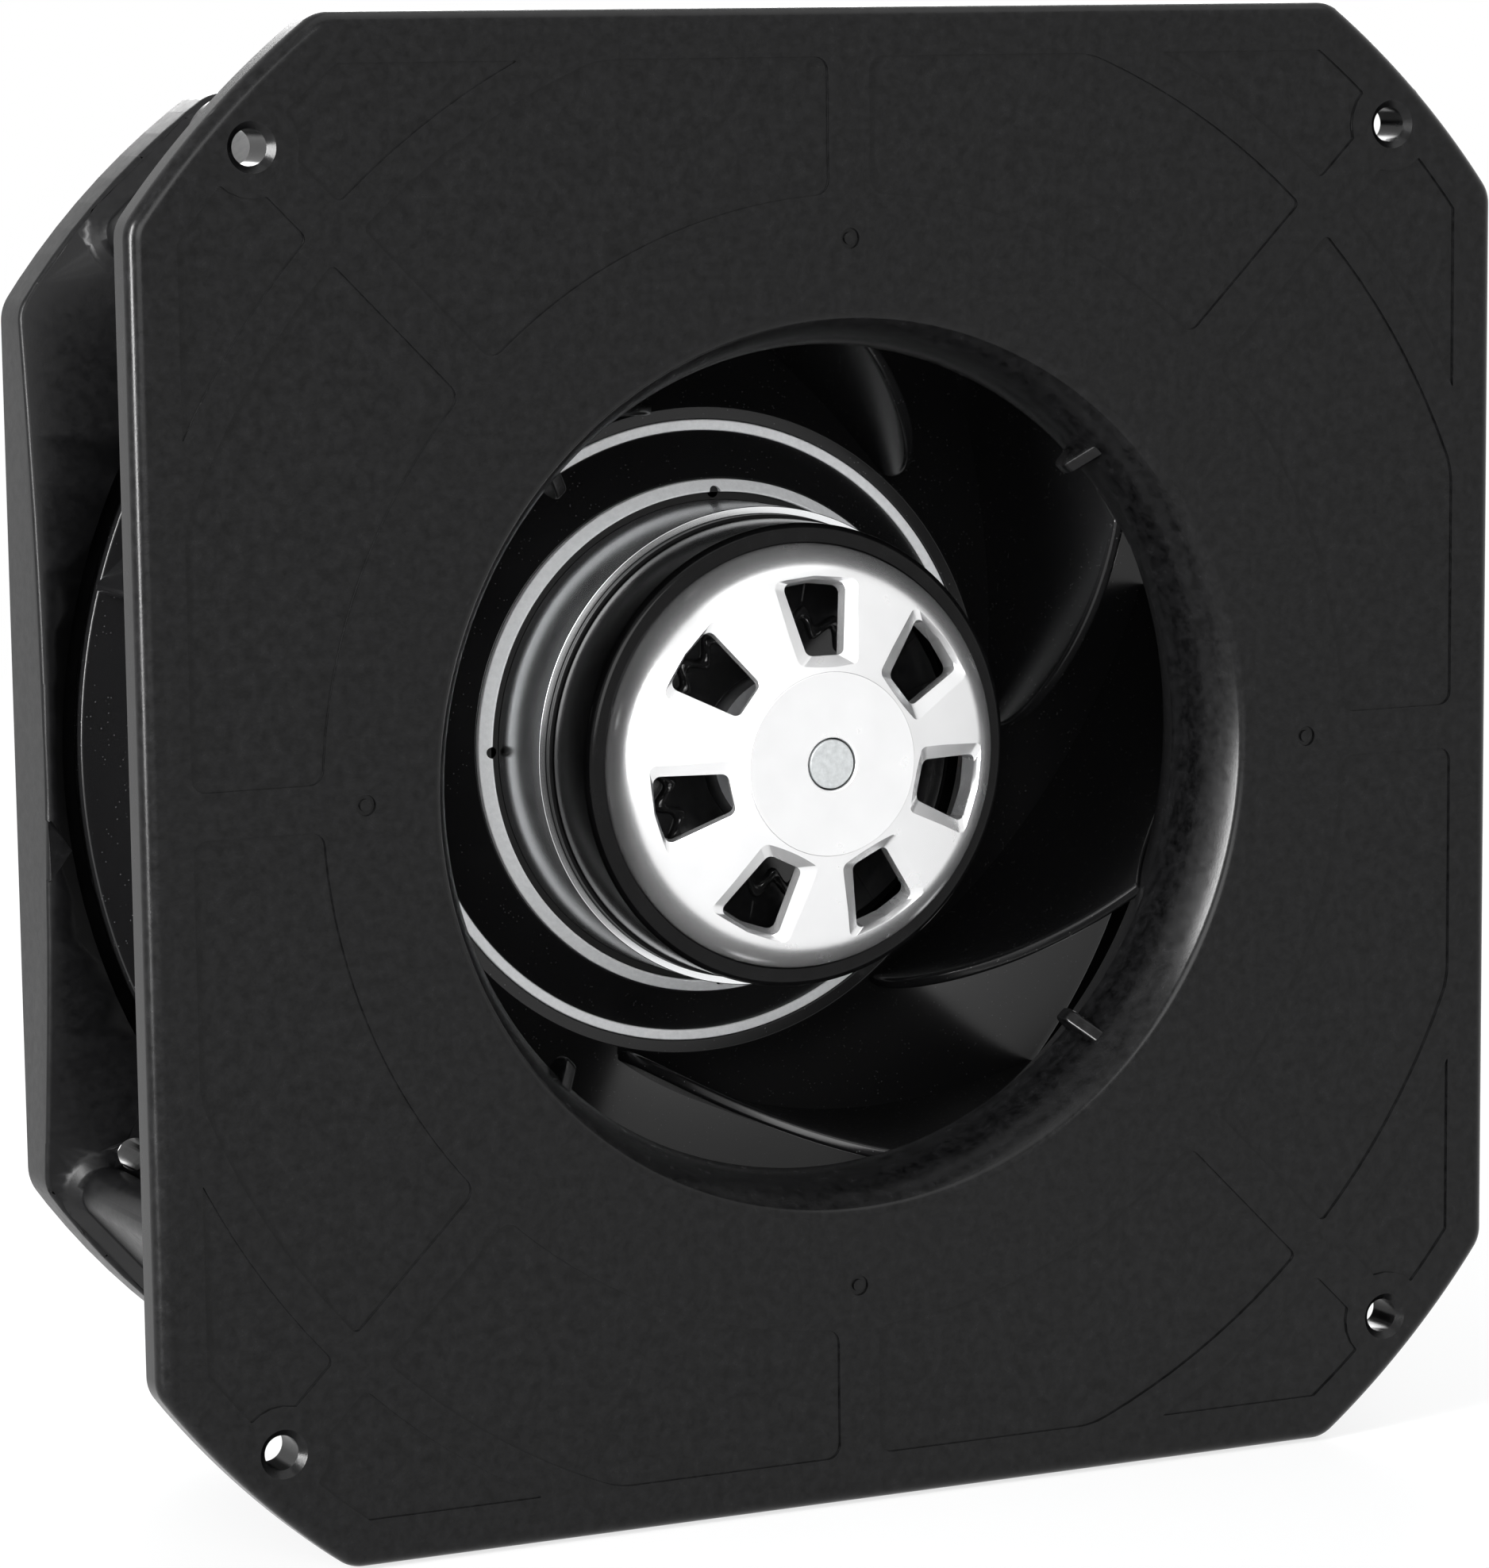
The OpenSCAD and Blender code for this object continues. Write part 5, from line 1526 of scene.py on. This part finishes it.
@dataclass
class Rotor:
    """The motor's outer rotor: bright face with windows, shell, ring, sleeve, flange and shaft."""

    face_radius: float = 43.3
    face_angle: float = 18.7
    face_wall: float = 4.5
    face_round: float = 10.0
    face_crease: float = 15.0
    cap_radius: float = 18.6
    cap_depth: float = 9.7
    cap_rise: float = 0.35
    cap_round: float = 0.3
    cap_foot: float = 0.15
    bore: float = 5.3
    bore_round: float = 0.5
    boss_radius: float = 9.5
    boss_end: float = 28.0
    inner_round: float = 1.0
    skirt_wall: float = 2.0
    skirt_end: float = 33.5
    end_round: float = 0.3
    window_count: int = 7
    window_radius: float = 29.0
    window_reach: Point = (-7.3, 7.6)
    window_widths: Point = (8.2, 14.3)
    window_drop: float = 1.4
    window_depth: float = 12.0
    window_bow: float = 0.9
    window_round: float = 1.6
    window_ease: float = 0.2
    window_bend: float = 30.0
    window_band: Point = (0.15, 4.0)
    side_bevel: float = 3.4
    inner_bevel: float = 2.75
    outer_bevel: float = 0.4
    shell_radius: float = 47.3
    shell_gap: float = 0.1
    shell_depths: Point = (24.3, 41.5)
    shell_rounds: Fillets = (0.4, 2.4, 0.3, 0.0)
    core_radii: Point = (41.7, 47.9)
    core_depths: Point = (41.5, 72.0)
    core_rounds: Fillets = (0.0, 0.2, 0.2, 0.0)
    sleeve_radii: Point = (47.95, 49.45)
    sleeve_depths: Point = (43.4, 74.0)
    sleeve_rounds: Fillets = (0.1, 0.2, 0.2, 0.0)
    flange_radius: float = 53.7
    flange_depths: Point = (62.0, 66.0)
    flange_drop: float = 2.0
    flange_gap: float = 0.05
    flange_groove: float = 1.7
    flange_rounds: Fillets = (0.2, 0.3, 0.5, 0.2)
    # Height and fillets of the dark ring at the groove's bottom, which is painted shade.
    shade_ring_height: float = 0.4
    shade_ring_rounds: Fillets = (0.1, 0.1, 0.0, 0.0)
    notch_count: int = 4
    notch_radius: float = 1.25
    notch_past: float = 2.0
    notch_gap: float = 0.03
    notch_steps: int = 24
    shaft_radius: float = 5.0
    shaft_depths: Point = (10.0, 107.0)
    shaft_rounds: Point = (0.45, 0.6)
    shaft_steps: int = 96
    clip_groove: tuple[float, float, float] = (100.0, 101.0, 4.65)

    def build(self) -> None:
        """Builds and delivers the rotor's pieces."""
        deliver(Bench.smooth(self.face(), self.face_crease), Body.ROTOR, POLISHED, "rotor_face")
        shell_radii = (self.face_radius + self.shell_gap, self.shell_radius)
        shell = Bench.ring("rotor_black_shell", shell_radii, self.shell_depths, self.shell_rounds, 10)
        deliver(Bench.smooth(shell), Body.ROTOR, PAINT, "rotor_shell")
        core = Bench.ring("rotor_sheet_ring", self.core_radii, self.core_depths, self.core_rounds, 2)
        deliver(Bench.smooth(core), Body.ROTOR, LAMINATION, "rotor_core")
        sleeve = Bench.ring(
            "rotor_bright_sleeve", self.sleeve_radii, self.sleeve_depths, self.sleeve_rounds, 4)
        deliver(Bench.smooth(sleeve), Body.ROTOR, BRIGHT, "rotor_sleeve")
        deliver(Bench.smooth(self.flange()), Body.ROTOR, RING, "rotor_flange", slot="bright_steel")
        # The dark ring and plugs in the flange's groove are painted shade, dressed in the rubber finish.
        deliver(Bench.smooth(self.groove_shade_ring()), Body.ROTOR, RUBBER_AND_GROOVE_SHADE)
        deliver(Bench.smooth(self.shaft()), Body.ROTOR, SHAFT, "shaft", slot="bright_steel")

    def face(self) -> bpy.types.Object:
        """Turns the face and cuts its windows.

        Returns:
            The face.
        """
        slope = math.tan(math.radians(self.face_angle))
        wall = self.face_wall / math.cos(math.radians(self.face_angle))
        cone = self.cap_depth + self.cap_rise
        edge = cone + (self.face_radius - self.cap_radius) * slope
        skirt_inner = self.face_radius - self.skirt_wall
        inner_edge = cone + wall + (skirt_inner - self.cap_radius) * slope
        face = Bench.turned("rotor_bright_face", rounded([
            (self.bore, self.cap_depth, self.bore_round), (self.cap_radius, self.cap_depth, self.cap_round),
            (self.cap_radius, cone, self.cap_foot), (self.face_radius, edge, self.face_round),
            (self.face_radius, self.skirt_end, self.end_round), (skirt_inner, self.skirt_end, self.end_round),
            (skirt_inner, inner_edge, self.face_round / 2), (self.cap_radius, cone + wall, self.inner_round),
            (self.boss_radius, cone + wall, self.inner_round),
            (self.boss_radius, self.boss_end, self.end_round),
            (self.bore, self.boss_end, self.end_round)], 12), TURN_STEPS)
        windows = Bench.copies(self.window(), self.window_count, 90.0)
        Bench.carve(face, Bench.join(windows, "windows"), Cut.TAKE)
        Bench.soften(face, self.window_edge, self.window_ease, 2)
        return face

    def window_edge(self, one: Vector, two: Vector, bend: float) -> bool:
        """Tells whether an edge lies around a window.

        Args:
            one: One end, in millimetres.
            two: The other end.
            bend: Angle between its faces.

        Returns:
            Whether it does.
        """
        radii = [math.hypot(point.x, point.z) for point in (one, two)]
        inner = self.cap_radius + self.window_band[0]
        outer = self.face_radius - self.window_band[1]
        return bend > self.window_bend and min(radii) > inner and max(radii) < outer

    def window(self) -> bpy.types.Object:
        """Makes the cutter of one window, square to the cone.

        Returns:
            The cutter, at the angle 0.
        """
        turn = math.radians(self.face_angle)
        out = Vector((math.cos(turn), math.sin(turn)))
        inward = Vector((-math.sin(turn), math.cos(turn)))
        depth = self.cap_depth + self.cap_rise + (self.window_radius - self.cap_radius) * math.tan(turn)
        above = self.cap_rise
        loops = []
        levels = ((-above, 1 + above / self.window_drop), (self.window_drop, 0.0), (self.window_depth, 0.0))
        for level, grow in levels:
            near = self.window_reach[0] - self.inner_bevel * grow
            far = self.window_reach[1] + self.outer_bevel * grow
            narrow, wide = (width / 2 + self.side_bevel * grow for width in self.window_widths)
            outline = rounded([
                (near, -narrow, self.window_round), (far, -wide, self.window_round),
                (far + self.window_bow, 0.0, 0.0),
                (far, wide, self.window_round), (near, narrow, self.window_round)], 9)
            radius = self.window_radius
            loops.append([
                Vector((radius + out.x * a + inward.x * level, depth + out.y * a + inward.y * level, b))
                for a, b in outline])
        return Bench.loft("window", loops)

    def flange(self) -> bpy.types.Object:
        """Turns the light ring and cuts its notches.

        Returns:
            The flange.
        """
        inner = self.sleeve_radii[1] + self.flange_gap
        lip = self.sleeve_radii[1] + self.flange_groove
        front, back = self.flange_depths
        floor = front + self.flange_drop
        rounds = self.flange_rounds
        ring = Bench.turned("rotor_light_flange", rounded([
            (inner, floor, 0.0), (lip, floor, rounds[0]), (lip, front, rounds[1]),
            (self.flange_radius, floor, rounds[2]), (self.flange_radius, back, rounds[3]),
            (inner, back, 0.0)], 4), TURN_STEPS)
        notch = Bench.drum("notch", self.notch_radius, front - self.notch_past, floor, self.notch_steps,
                           (lip, 0.0))
        Bench.carve(ring, Bench.join(Bench.copies(notch, self.notch_count), "notches"), Cut.TAKE)
        return ring

    def groove_shade_ring(self) -> bpy.types.Object:
        """Turns a dark ring at the bottom of the flange's groove, with dark plugs at the bottom of its
        notches: painted shade that stands in for the shadow there, not a real seal.

        Returns:
            The ring.
        """
        radii = (self.sleeve_radii[1] + self.flange_gap, self.sleeve_radii[1] + self.flange_groove)
        floor = self.flange_depths[0] + self.flange_drop
        depths = (floor - self.shade_ring_height, floor)
        ring = Bench.ring("rotor_groove_painted_shade", radii, depths, self.shade_ring_rounds, 3)
        plug = Bench.drum("plug", self.notch_radius - self.notch_gap, *depths, self.notch_steps,
                          (radii[1], 0.0))
        return Bench.join([ring, *Bench.copies(plug, self.notch_count)], "rotor_groove_painted_shade")

    def shaft(self) -> bpy.types.Object:
        """Turns the shaft with its rounded ends and clip groove.

        Returns:
            The shaft.
        """
        front, back = self.shaft_depths
        near, far, neck = self.clip_groove
        radius = self.shaft_radius
        return Bench.turned("rotor_shaft", rounded([
            (0.0, front, 0.0), (radius, front, self.shaft_rounds[0]), (radius, near, 0.0), (neck, near, 0.0),
            (neck, far, 0.0), (radius, far, 0.0), (radius, back, self.shaft_rounds[1]),
            (0.0, back, 0.0)], 4), self.shaft_steps)


@dataclass
class WindingCover:
    """The dark cover behind the rotor's windows, with a wavy bead and thin spokes."""

    radii: Point = (17.0, 39.0)
    depths: Point = (34.1, 36.1)
    front_rounds: Point = (0.4, 0.6)
    back_round: float = 0.2
    tube_radius: float = 19.0
    tube_end: float = 39.5
    tube_round: float = 0.3
    turn_steps: int = 160
    bead_radius: float = 27.0
    bead_size: float = 1.5
    bead_wave: float = 1.7
    bead_waves: int = 24
    bead_steps: tuple[int, int] = (20, 14)
    spoke_count: int = 24
    spoke_width: float = 0.5
    spoke_start: float = 4.0
    spoke_end: float = 0.5
    spoke_rise: float = 0.35
    spoke_sink: float = 0.5
    spoke_turn: float = 4.0

    def build(self) -> None:
        """Builds and delivers the cover."""
        front, back = self.depths
        inner, outer = self.radii
        plate = Bench.turned("winding_front_cover", rounded([
            (inner, front, self.front_rounds[0]), (outer, front, self.front_rounds[1]),
            (outer, back, self.back_round), (self.tube_radius, back, self.tube_round),
            (self.tube_radius, self.tube_end, self.back_round),
            (inner, self.tube_end, self.back_round)], 3), self.turn_steps)
        side = self.spoke_width / 2
        start = self.bead_radius + self.spoke_start
        spoke = Bench.block("spoke", Vector((start, front - self.spoke_rise, -side)),
                            Vector((outer - self.spoke_end, front + self.spoke_sink, side)))
        spokes = Bench.copies(spoke, self.spoke_count, self.spoke_turn)
        cover = Bench.join([plate, self.bead(), *spokes], "winding_front_cover")
        deliver(Bench.smooth(cover), Body.FRAME, INSULATOR, "winding_cover")

    def bead(self) -> bpy.types.Object:
        """Bends a torus into the wavy bead.

        Returns:
            The bead.
        """
        bpy.ops.object.select_all(action="DESELECT")
        bpy.ops.mesh.primitive_torus_add(
            major_radius=self.bead_radius * MM, minor_radius=self.bead_size * MM,
            major_segments=self.bead_steps[0] * self.bead_waves, minor_segments=self.bead_steps[1],
            rotation=(math.pi / 2, 0, 0), location=(0, self.depths[0] * MM, 0))
        bead = bpy.context.object
        Bench.settle(bead)
        for vertex in bead.data.vertices:
            angle = math.atan2(vertex.co.z, vertex.co.x)
            shift = self.bead_wave * math.sin(self.bead_waves * angle) * MM
            vertex.co.x += shift * math.cos(angle)
            vertex.co.z += shift * math.sin(angle)
        return bead


@dataclass
class ScrewSet:
    """Four socket screws from the back, on a circle about the fan axis."""

    name: str
    node: str
    size: float
    circle: float
    first: float
    seat: float
    tip: float
    height: float
    count: int = 4
    head_share: float = 0.88
    socket_share: float = 0.45
    socket_past: float = 2.0
    tip_round: float = 0.4
    seat_round: float = 0.15
    head_round: float = 0.5
    turn_steps: int = 40

    def build(self) -> None:
        """Builds and delivers the screws."""
        head = self.size * self.head_share
        end = self.seat + self.height
        screw = Bench.turned(self.name, rounded([
            (0.0, self.tip, 0.0), (self.size / 2, self.tip, self.tip_round), (self.size / 2, self.seat, 0.0),
            (head, self.seat, self.seat_round), (head, end, self.head_round), (0.0, end, 0.0)], 4),
            self.turn_steps)
        socket = Bench.drum("socket", self.size * self.socket_share, self.seat + self.height / 2,
                            end + self.socket_past, 6)
        Bench.carve(screw, socket, Cut.TAKE)
        screw.location = (self.circle * MM, 0, 0)
        Bench.settle(screw)
        screws = Bench.join(Bench.copies(screw, self.count, self.first), self.name)
        deliver(Bench.smooth(screws), Body.FRAME, FASTENER, self.node)


@dataclass
class MotorEnd:
    """What closes the motor at the back: cover, grommet and screws."""

    cover_radius: float = 43.0
    cover_wall: float = 2.5
    cover_rounds: Point = (5.0, 2.5)
    cover_steps: int = 160
    flange_radius: float = 55.0
    flange_depths: Point = (112.8, 115.3)
    flange_round: float = 0.8
    seat_rounds: Point = (0.3, 0.4)
    end_depth: float = 126.8
    screw_size: float = 3.0
    screw_circle: float = 50.5
    screw_tip: float = 108.5
    screw_head: float = 2.25
    screw_hole: float = 1.55
    hole_past: float = 2.0
    hole_steps: int = 32
    carrier_screw_size: float = 4.0
    carrier_screw_circle: float = 60.5
    carrier_screw_turn: float = 45.0
    carrier_screw_depths: Point = (112.0, 104.5)
    carrier_screw_head: float = 3.0
    grommet_place: float = -24.0
    grommet_radius: float = 5.5
    grommet_bore: float = 3.2
    grommet_lip: float = 2.0
    grommet_gap: float = 0.02
    grommet_steps: int = 64
    entry_gap: float = 0.05
    entry_past: float = 3.0
    entry_steps: int = 48

    def build(self) -> None:
        """Builds and delivers the pieces at the motor's back."""
        deliver(Bench.smooth(self.cover()), Body.FRAME, HOUSING, "motor_cover", slot="plate_plastic")
        deliver(Bench.smooth(self.grommet()), Body.FRAME, RUBBER_AND_GROOVE_SHADE, "cable_grommet")
        ScrewSet("cover_screw_set", "cover_screws", self.screw_size, self.screw_circle, 0.0,
                 self.flange_depths[1], self.screw_tip, self.screw_head).build()
        ScrewSet("carrier_screw_set", "carrier_screws", self.carrier_screw_size, self.carrier_screw_circle,
                 self.carrier_screw_turn, *self.carrier_screw_depths, self.carrier_screw_head).build()

    def cover(self) -> bpy.types.Object:
        """Turns the cover and cuts its holes.

        Returns:
            The cover.
        """
        inner = self.cover_radius - self.cover_wall
        inner_end = self.end_depth - self.cover_wall
        front, back = self.flange_depths
        cover = Bench.turned("motor_back_cover", rounded([
            (inner, front, self.seat_rounds[0]), (self.flange_radius, front, self.seat_rounds[1]),
            (self.flange_radius, back, self.flange_round), (self.cover_radius, back, self.flange_round),
            (self.cover_radius, self.end_depth, self.cover_rounds[0]), (0.0, self.end_depth, 0.0),
            (0.0, inner_end, 0.0), (inner, inner_end, self.cover_rounds[1])], 8), self.cover_steps)
        hole = Bench.drum("hole", self.screw_hole, front - self.hole_past, back + self.hole_past,
                          self.hole_steps, (self.screw_circle, 0.0))
        entry_end = self.end_depth + self.entry_past
        entry = Bench.drum("entry", self.grommet_radius + self.entry_gap, back, entry_end, self.entry_steps,
                           (0.0, self.grommet_place))
        Bench.carve(cover, Bench.join([*Bench.copies(hole, 4), entry], "holes"), Cut.TAKE)
        return cover

    def grommet(self) -> bpy.types.Object:
        """Turns the cable grommet.

        Returns:
            The grommet.
        """
        back = self.end_depth
        front = back - self.cover_wall
        bore, neck = self.grommet_bore, self.grommet_radius
        wide = neck + self.grommet_lip
        inner_end, outer_end = front - self.grommet_lip, back + self.grommet_lip
        inner_seat, outer_seat = front - self.grommet_gap, back + self.grommet_gap
        grommet = Bench.turned("cable_seal", rounded([
            (bore, inner_end, 0.3), (neck, inner_end, 0.4), (wide, inner_seat, 0.3), (neck, inner_seat, 0.0),
            (neck, outer_seat, 0.0), (wide, outer_seat, 0.4), (neck, outer_end, 0.7), (bore, outer_end, 0.5)],
            4), self.grommet_steps)
        grommet.location = (0, 0, self.grommet_place * MM)
        Bench.settle(grommet)
        return grommet


@dataclass
class RearPlate:
    """The plate behind the impeller, from its solid, with rounded corners and eased rims."""

    size: float = 268.0
    corner_radius: float = 162.0
    corner_round: float = 9.0
    depths: Point = (-5.0, 130.0)
    ease: float = 0.9
    rim_reach: float = 0.6
    rim_bends: Point = (35.0, 130.0)
    rim_slope: float = 0.6
    merge: float = 0.005
    flat_angle: float = 0.8
    crease: float = 35.0

    def build(self) -> None:
        """Builds and delivers the rear plate."""
        Bench.activate(frame["nodes"]["rear_plate"])
        bpy.ops.object.duplicate(linked=False)
        plate = Bench.take("rear_plate_skin")
        plate.parent = None
        for key in list(plate.keys()):
            del plate[key]
        Bench.edit(plate)
        Bench.weld(self.merge)
        bpy.ops.mesh.dissolve_limited(angle_limit=math.radians(self.flat_angle))
        Bench.close()
        blank = SquareBlank(self.size, self.corner_radius, self.corner_round)
        Bench.carve(plate, blank.build("rear_outline", *self.depths), Cut.KEEP)
        Bench.soften(plate, self.rim_edge, self.ease, 3, clamp=False)
        Bench.edit(plate)
        bpy.ops.mesh.quads_convert_to_tris(ngon_method="BEAUTY")
        Bench.close()
        # The rear plate is dressed in the painted-shade copy of the plate plastic.
        deliver(Bench.smooth(plate, self.crease), Body.FRAME, REAR_PAINTED_SHADE, "rear_plate", slot="plate_plastic")

    def rim_edge(self, one: Vector, two: Vector, bend: float) -> bool:
        """Tells whether an edge runs along the plate's outline.

        Args:
            one: One end, in millimetres.
            two: The other end.
            bend: Angle between its faces.

        Returns:
            Whether it does.
        """
        for point in (one, two):
            side = self.size / 2 - max(abs(point.x), abs(point.z))
            arc_side = self.corner_radius - math.hypot(point.x, point.z)
            if min(side, arc_side) > self.rim_reach:
                return False
        least, most = self.rim_bends
        return least < bend < most and abs(one.y - two.y) < self.rim_slope * (one - two).length


def dress_solids() -> None:
    """Gives every CAD solid a finish; the pieces made here hide some of them."""
    finishes = {finish.name: finish for finish in SLOT_FINISHES}
    for subpart in frame["record"]["subparts"]:
        finishes[subpart["material_slot"]].dress(frame["nodes"][subpart["node"]])


def main() -> None:
    """Builds the scene and hands it over."""
    logging.basicConfig(level=logging.INFO, format="%(name)s: %(message)s")
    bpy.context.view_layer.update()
    PhotoView().build()
    Studio().build()
    dress_solids()
    for part in (InletPlate(), RearPlate(), Impeller(), Rotor(), WindingCover(), MotorEnd()):
        part.build()


if __name__ == "__main__":
    main()
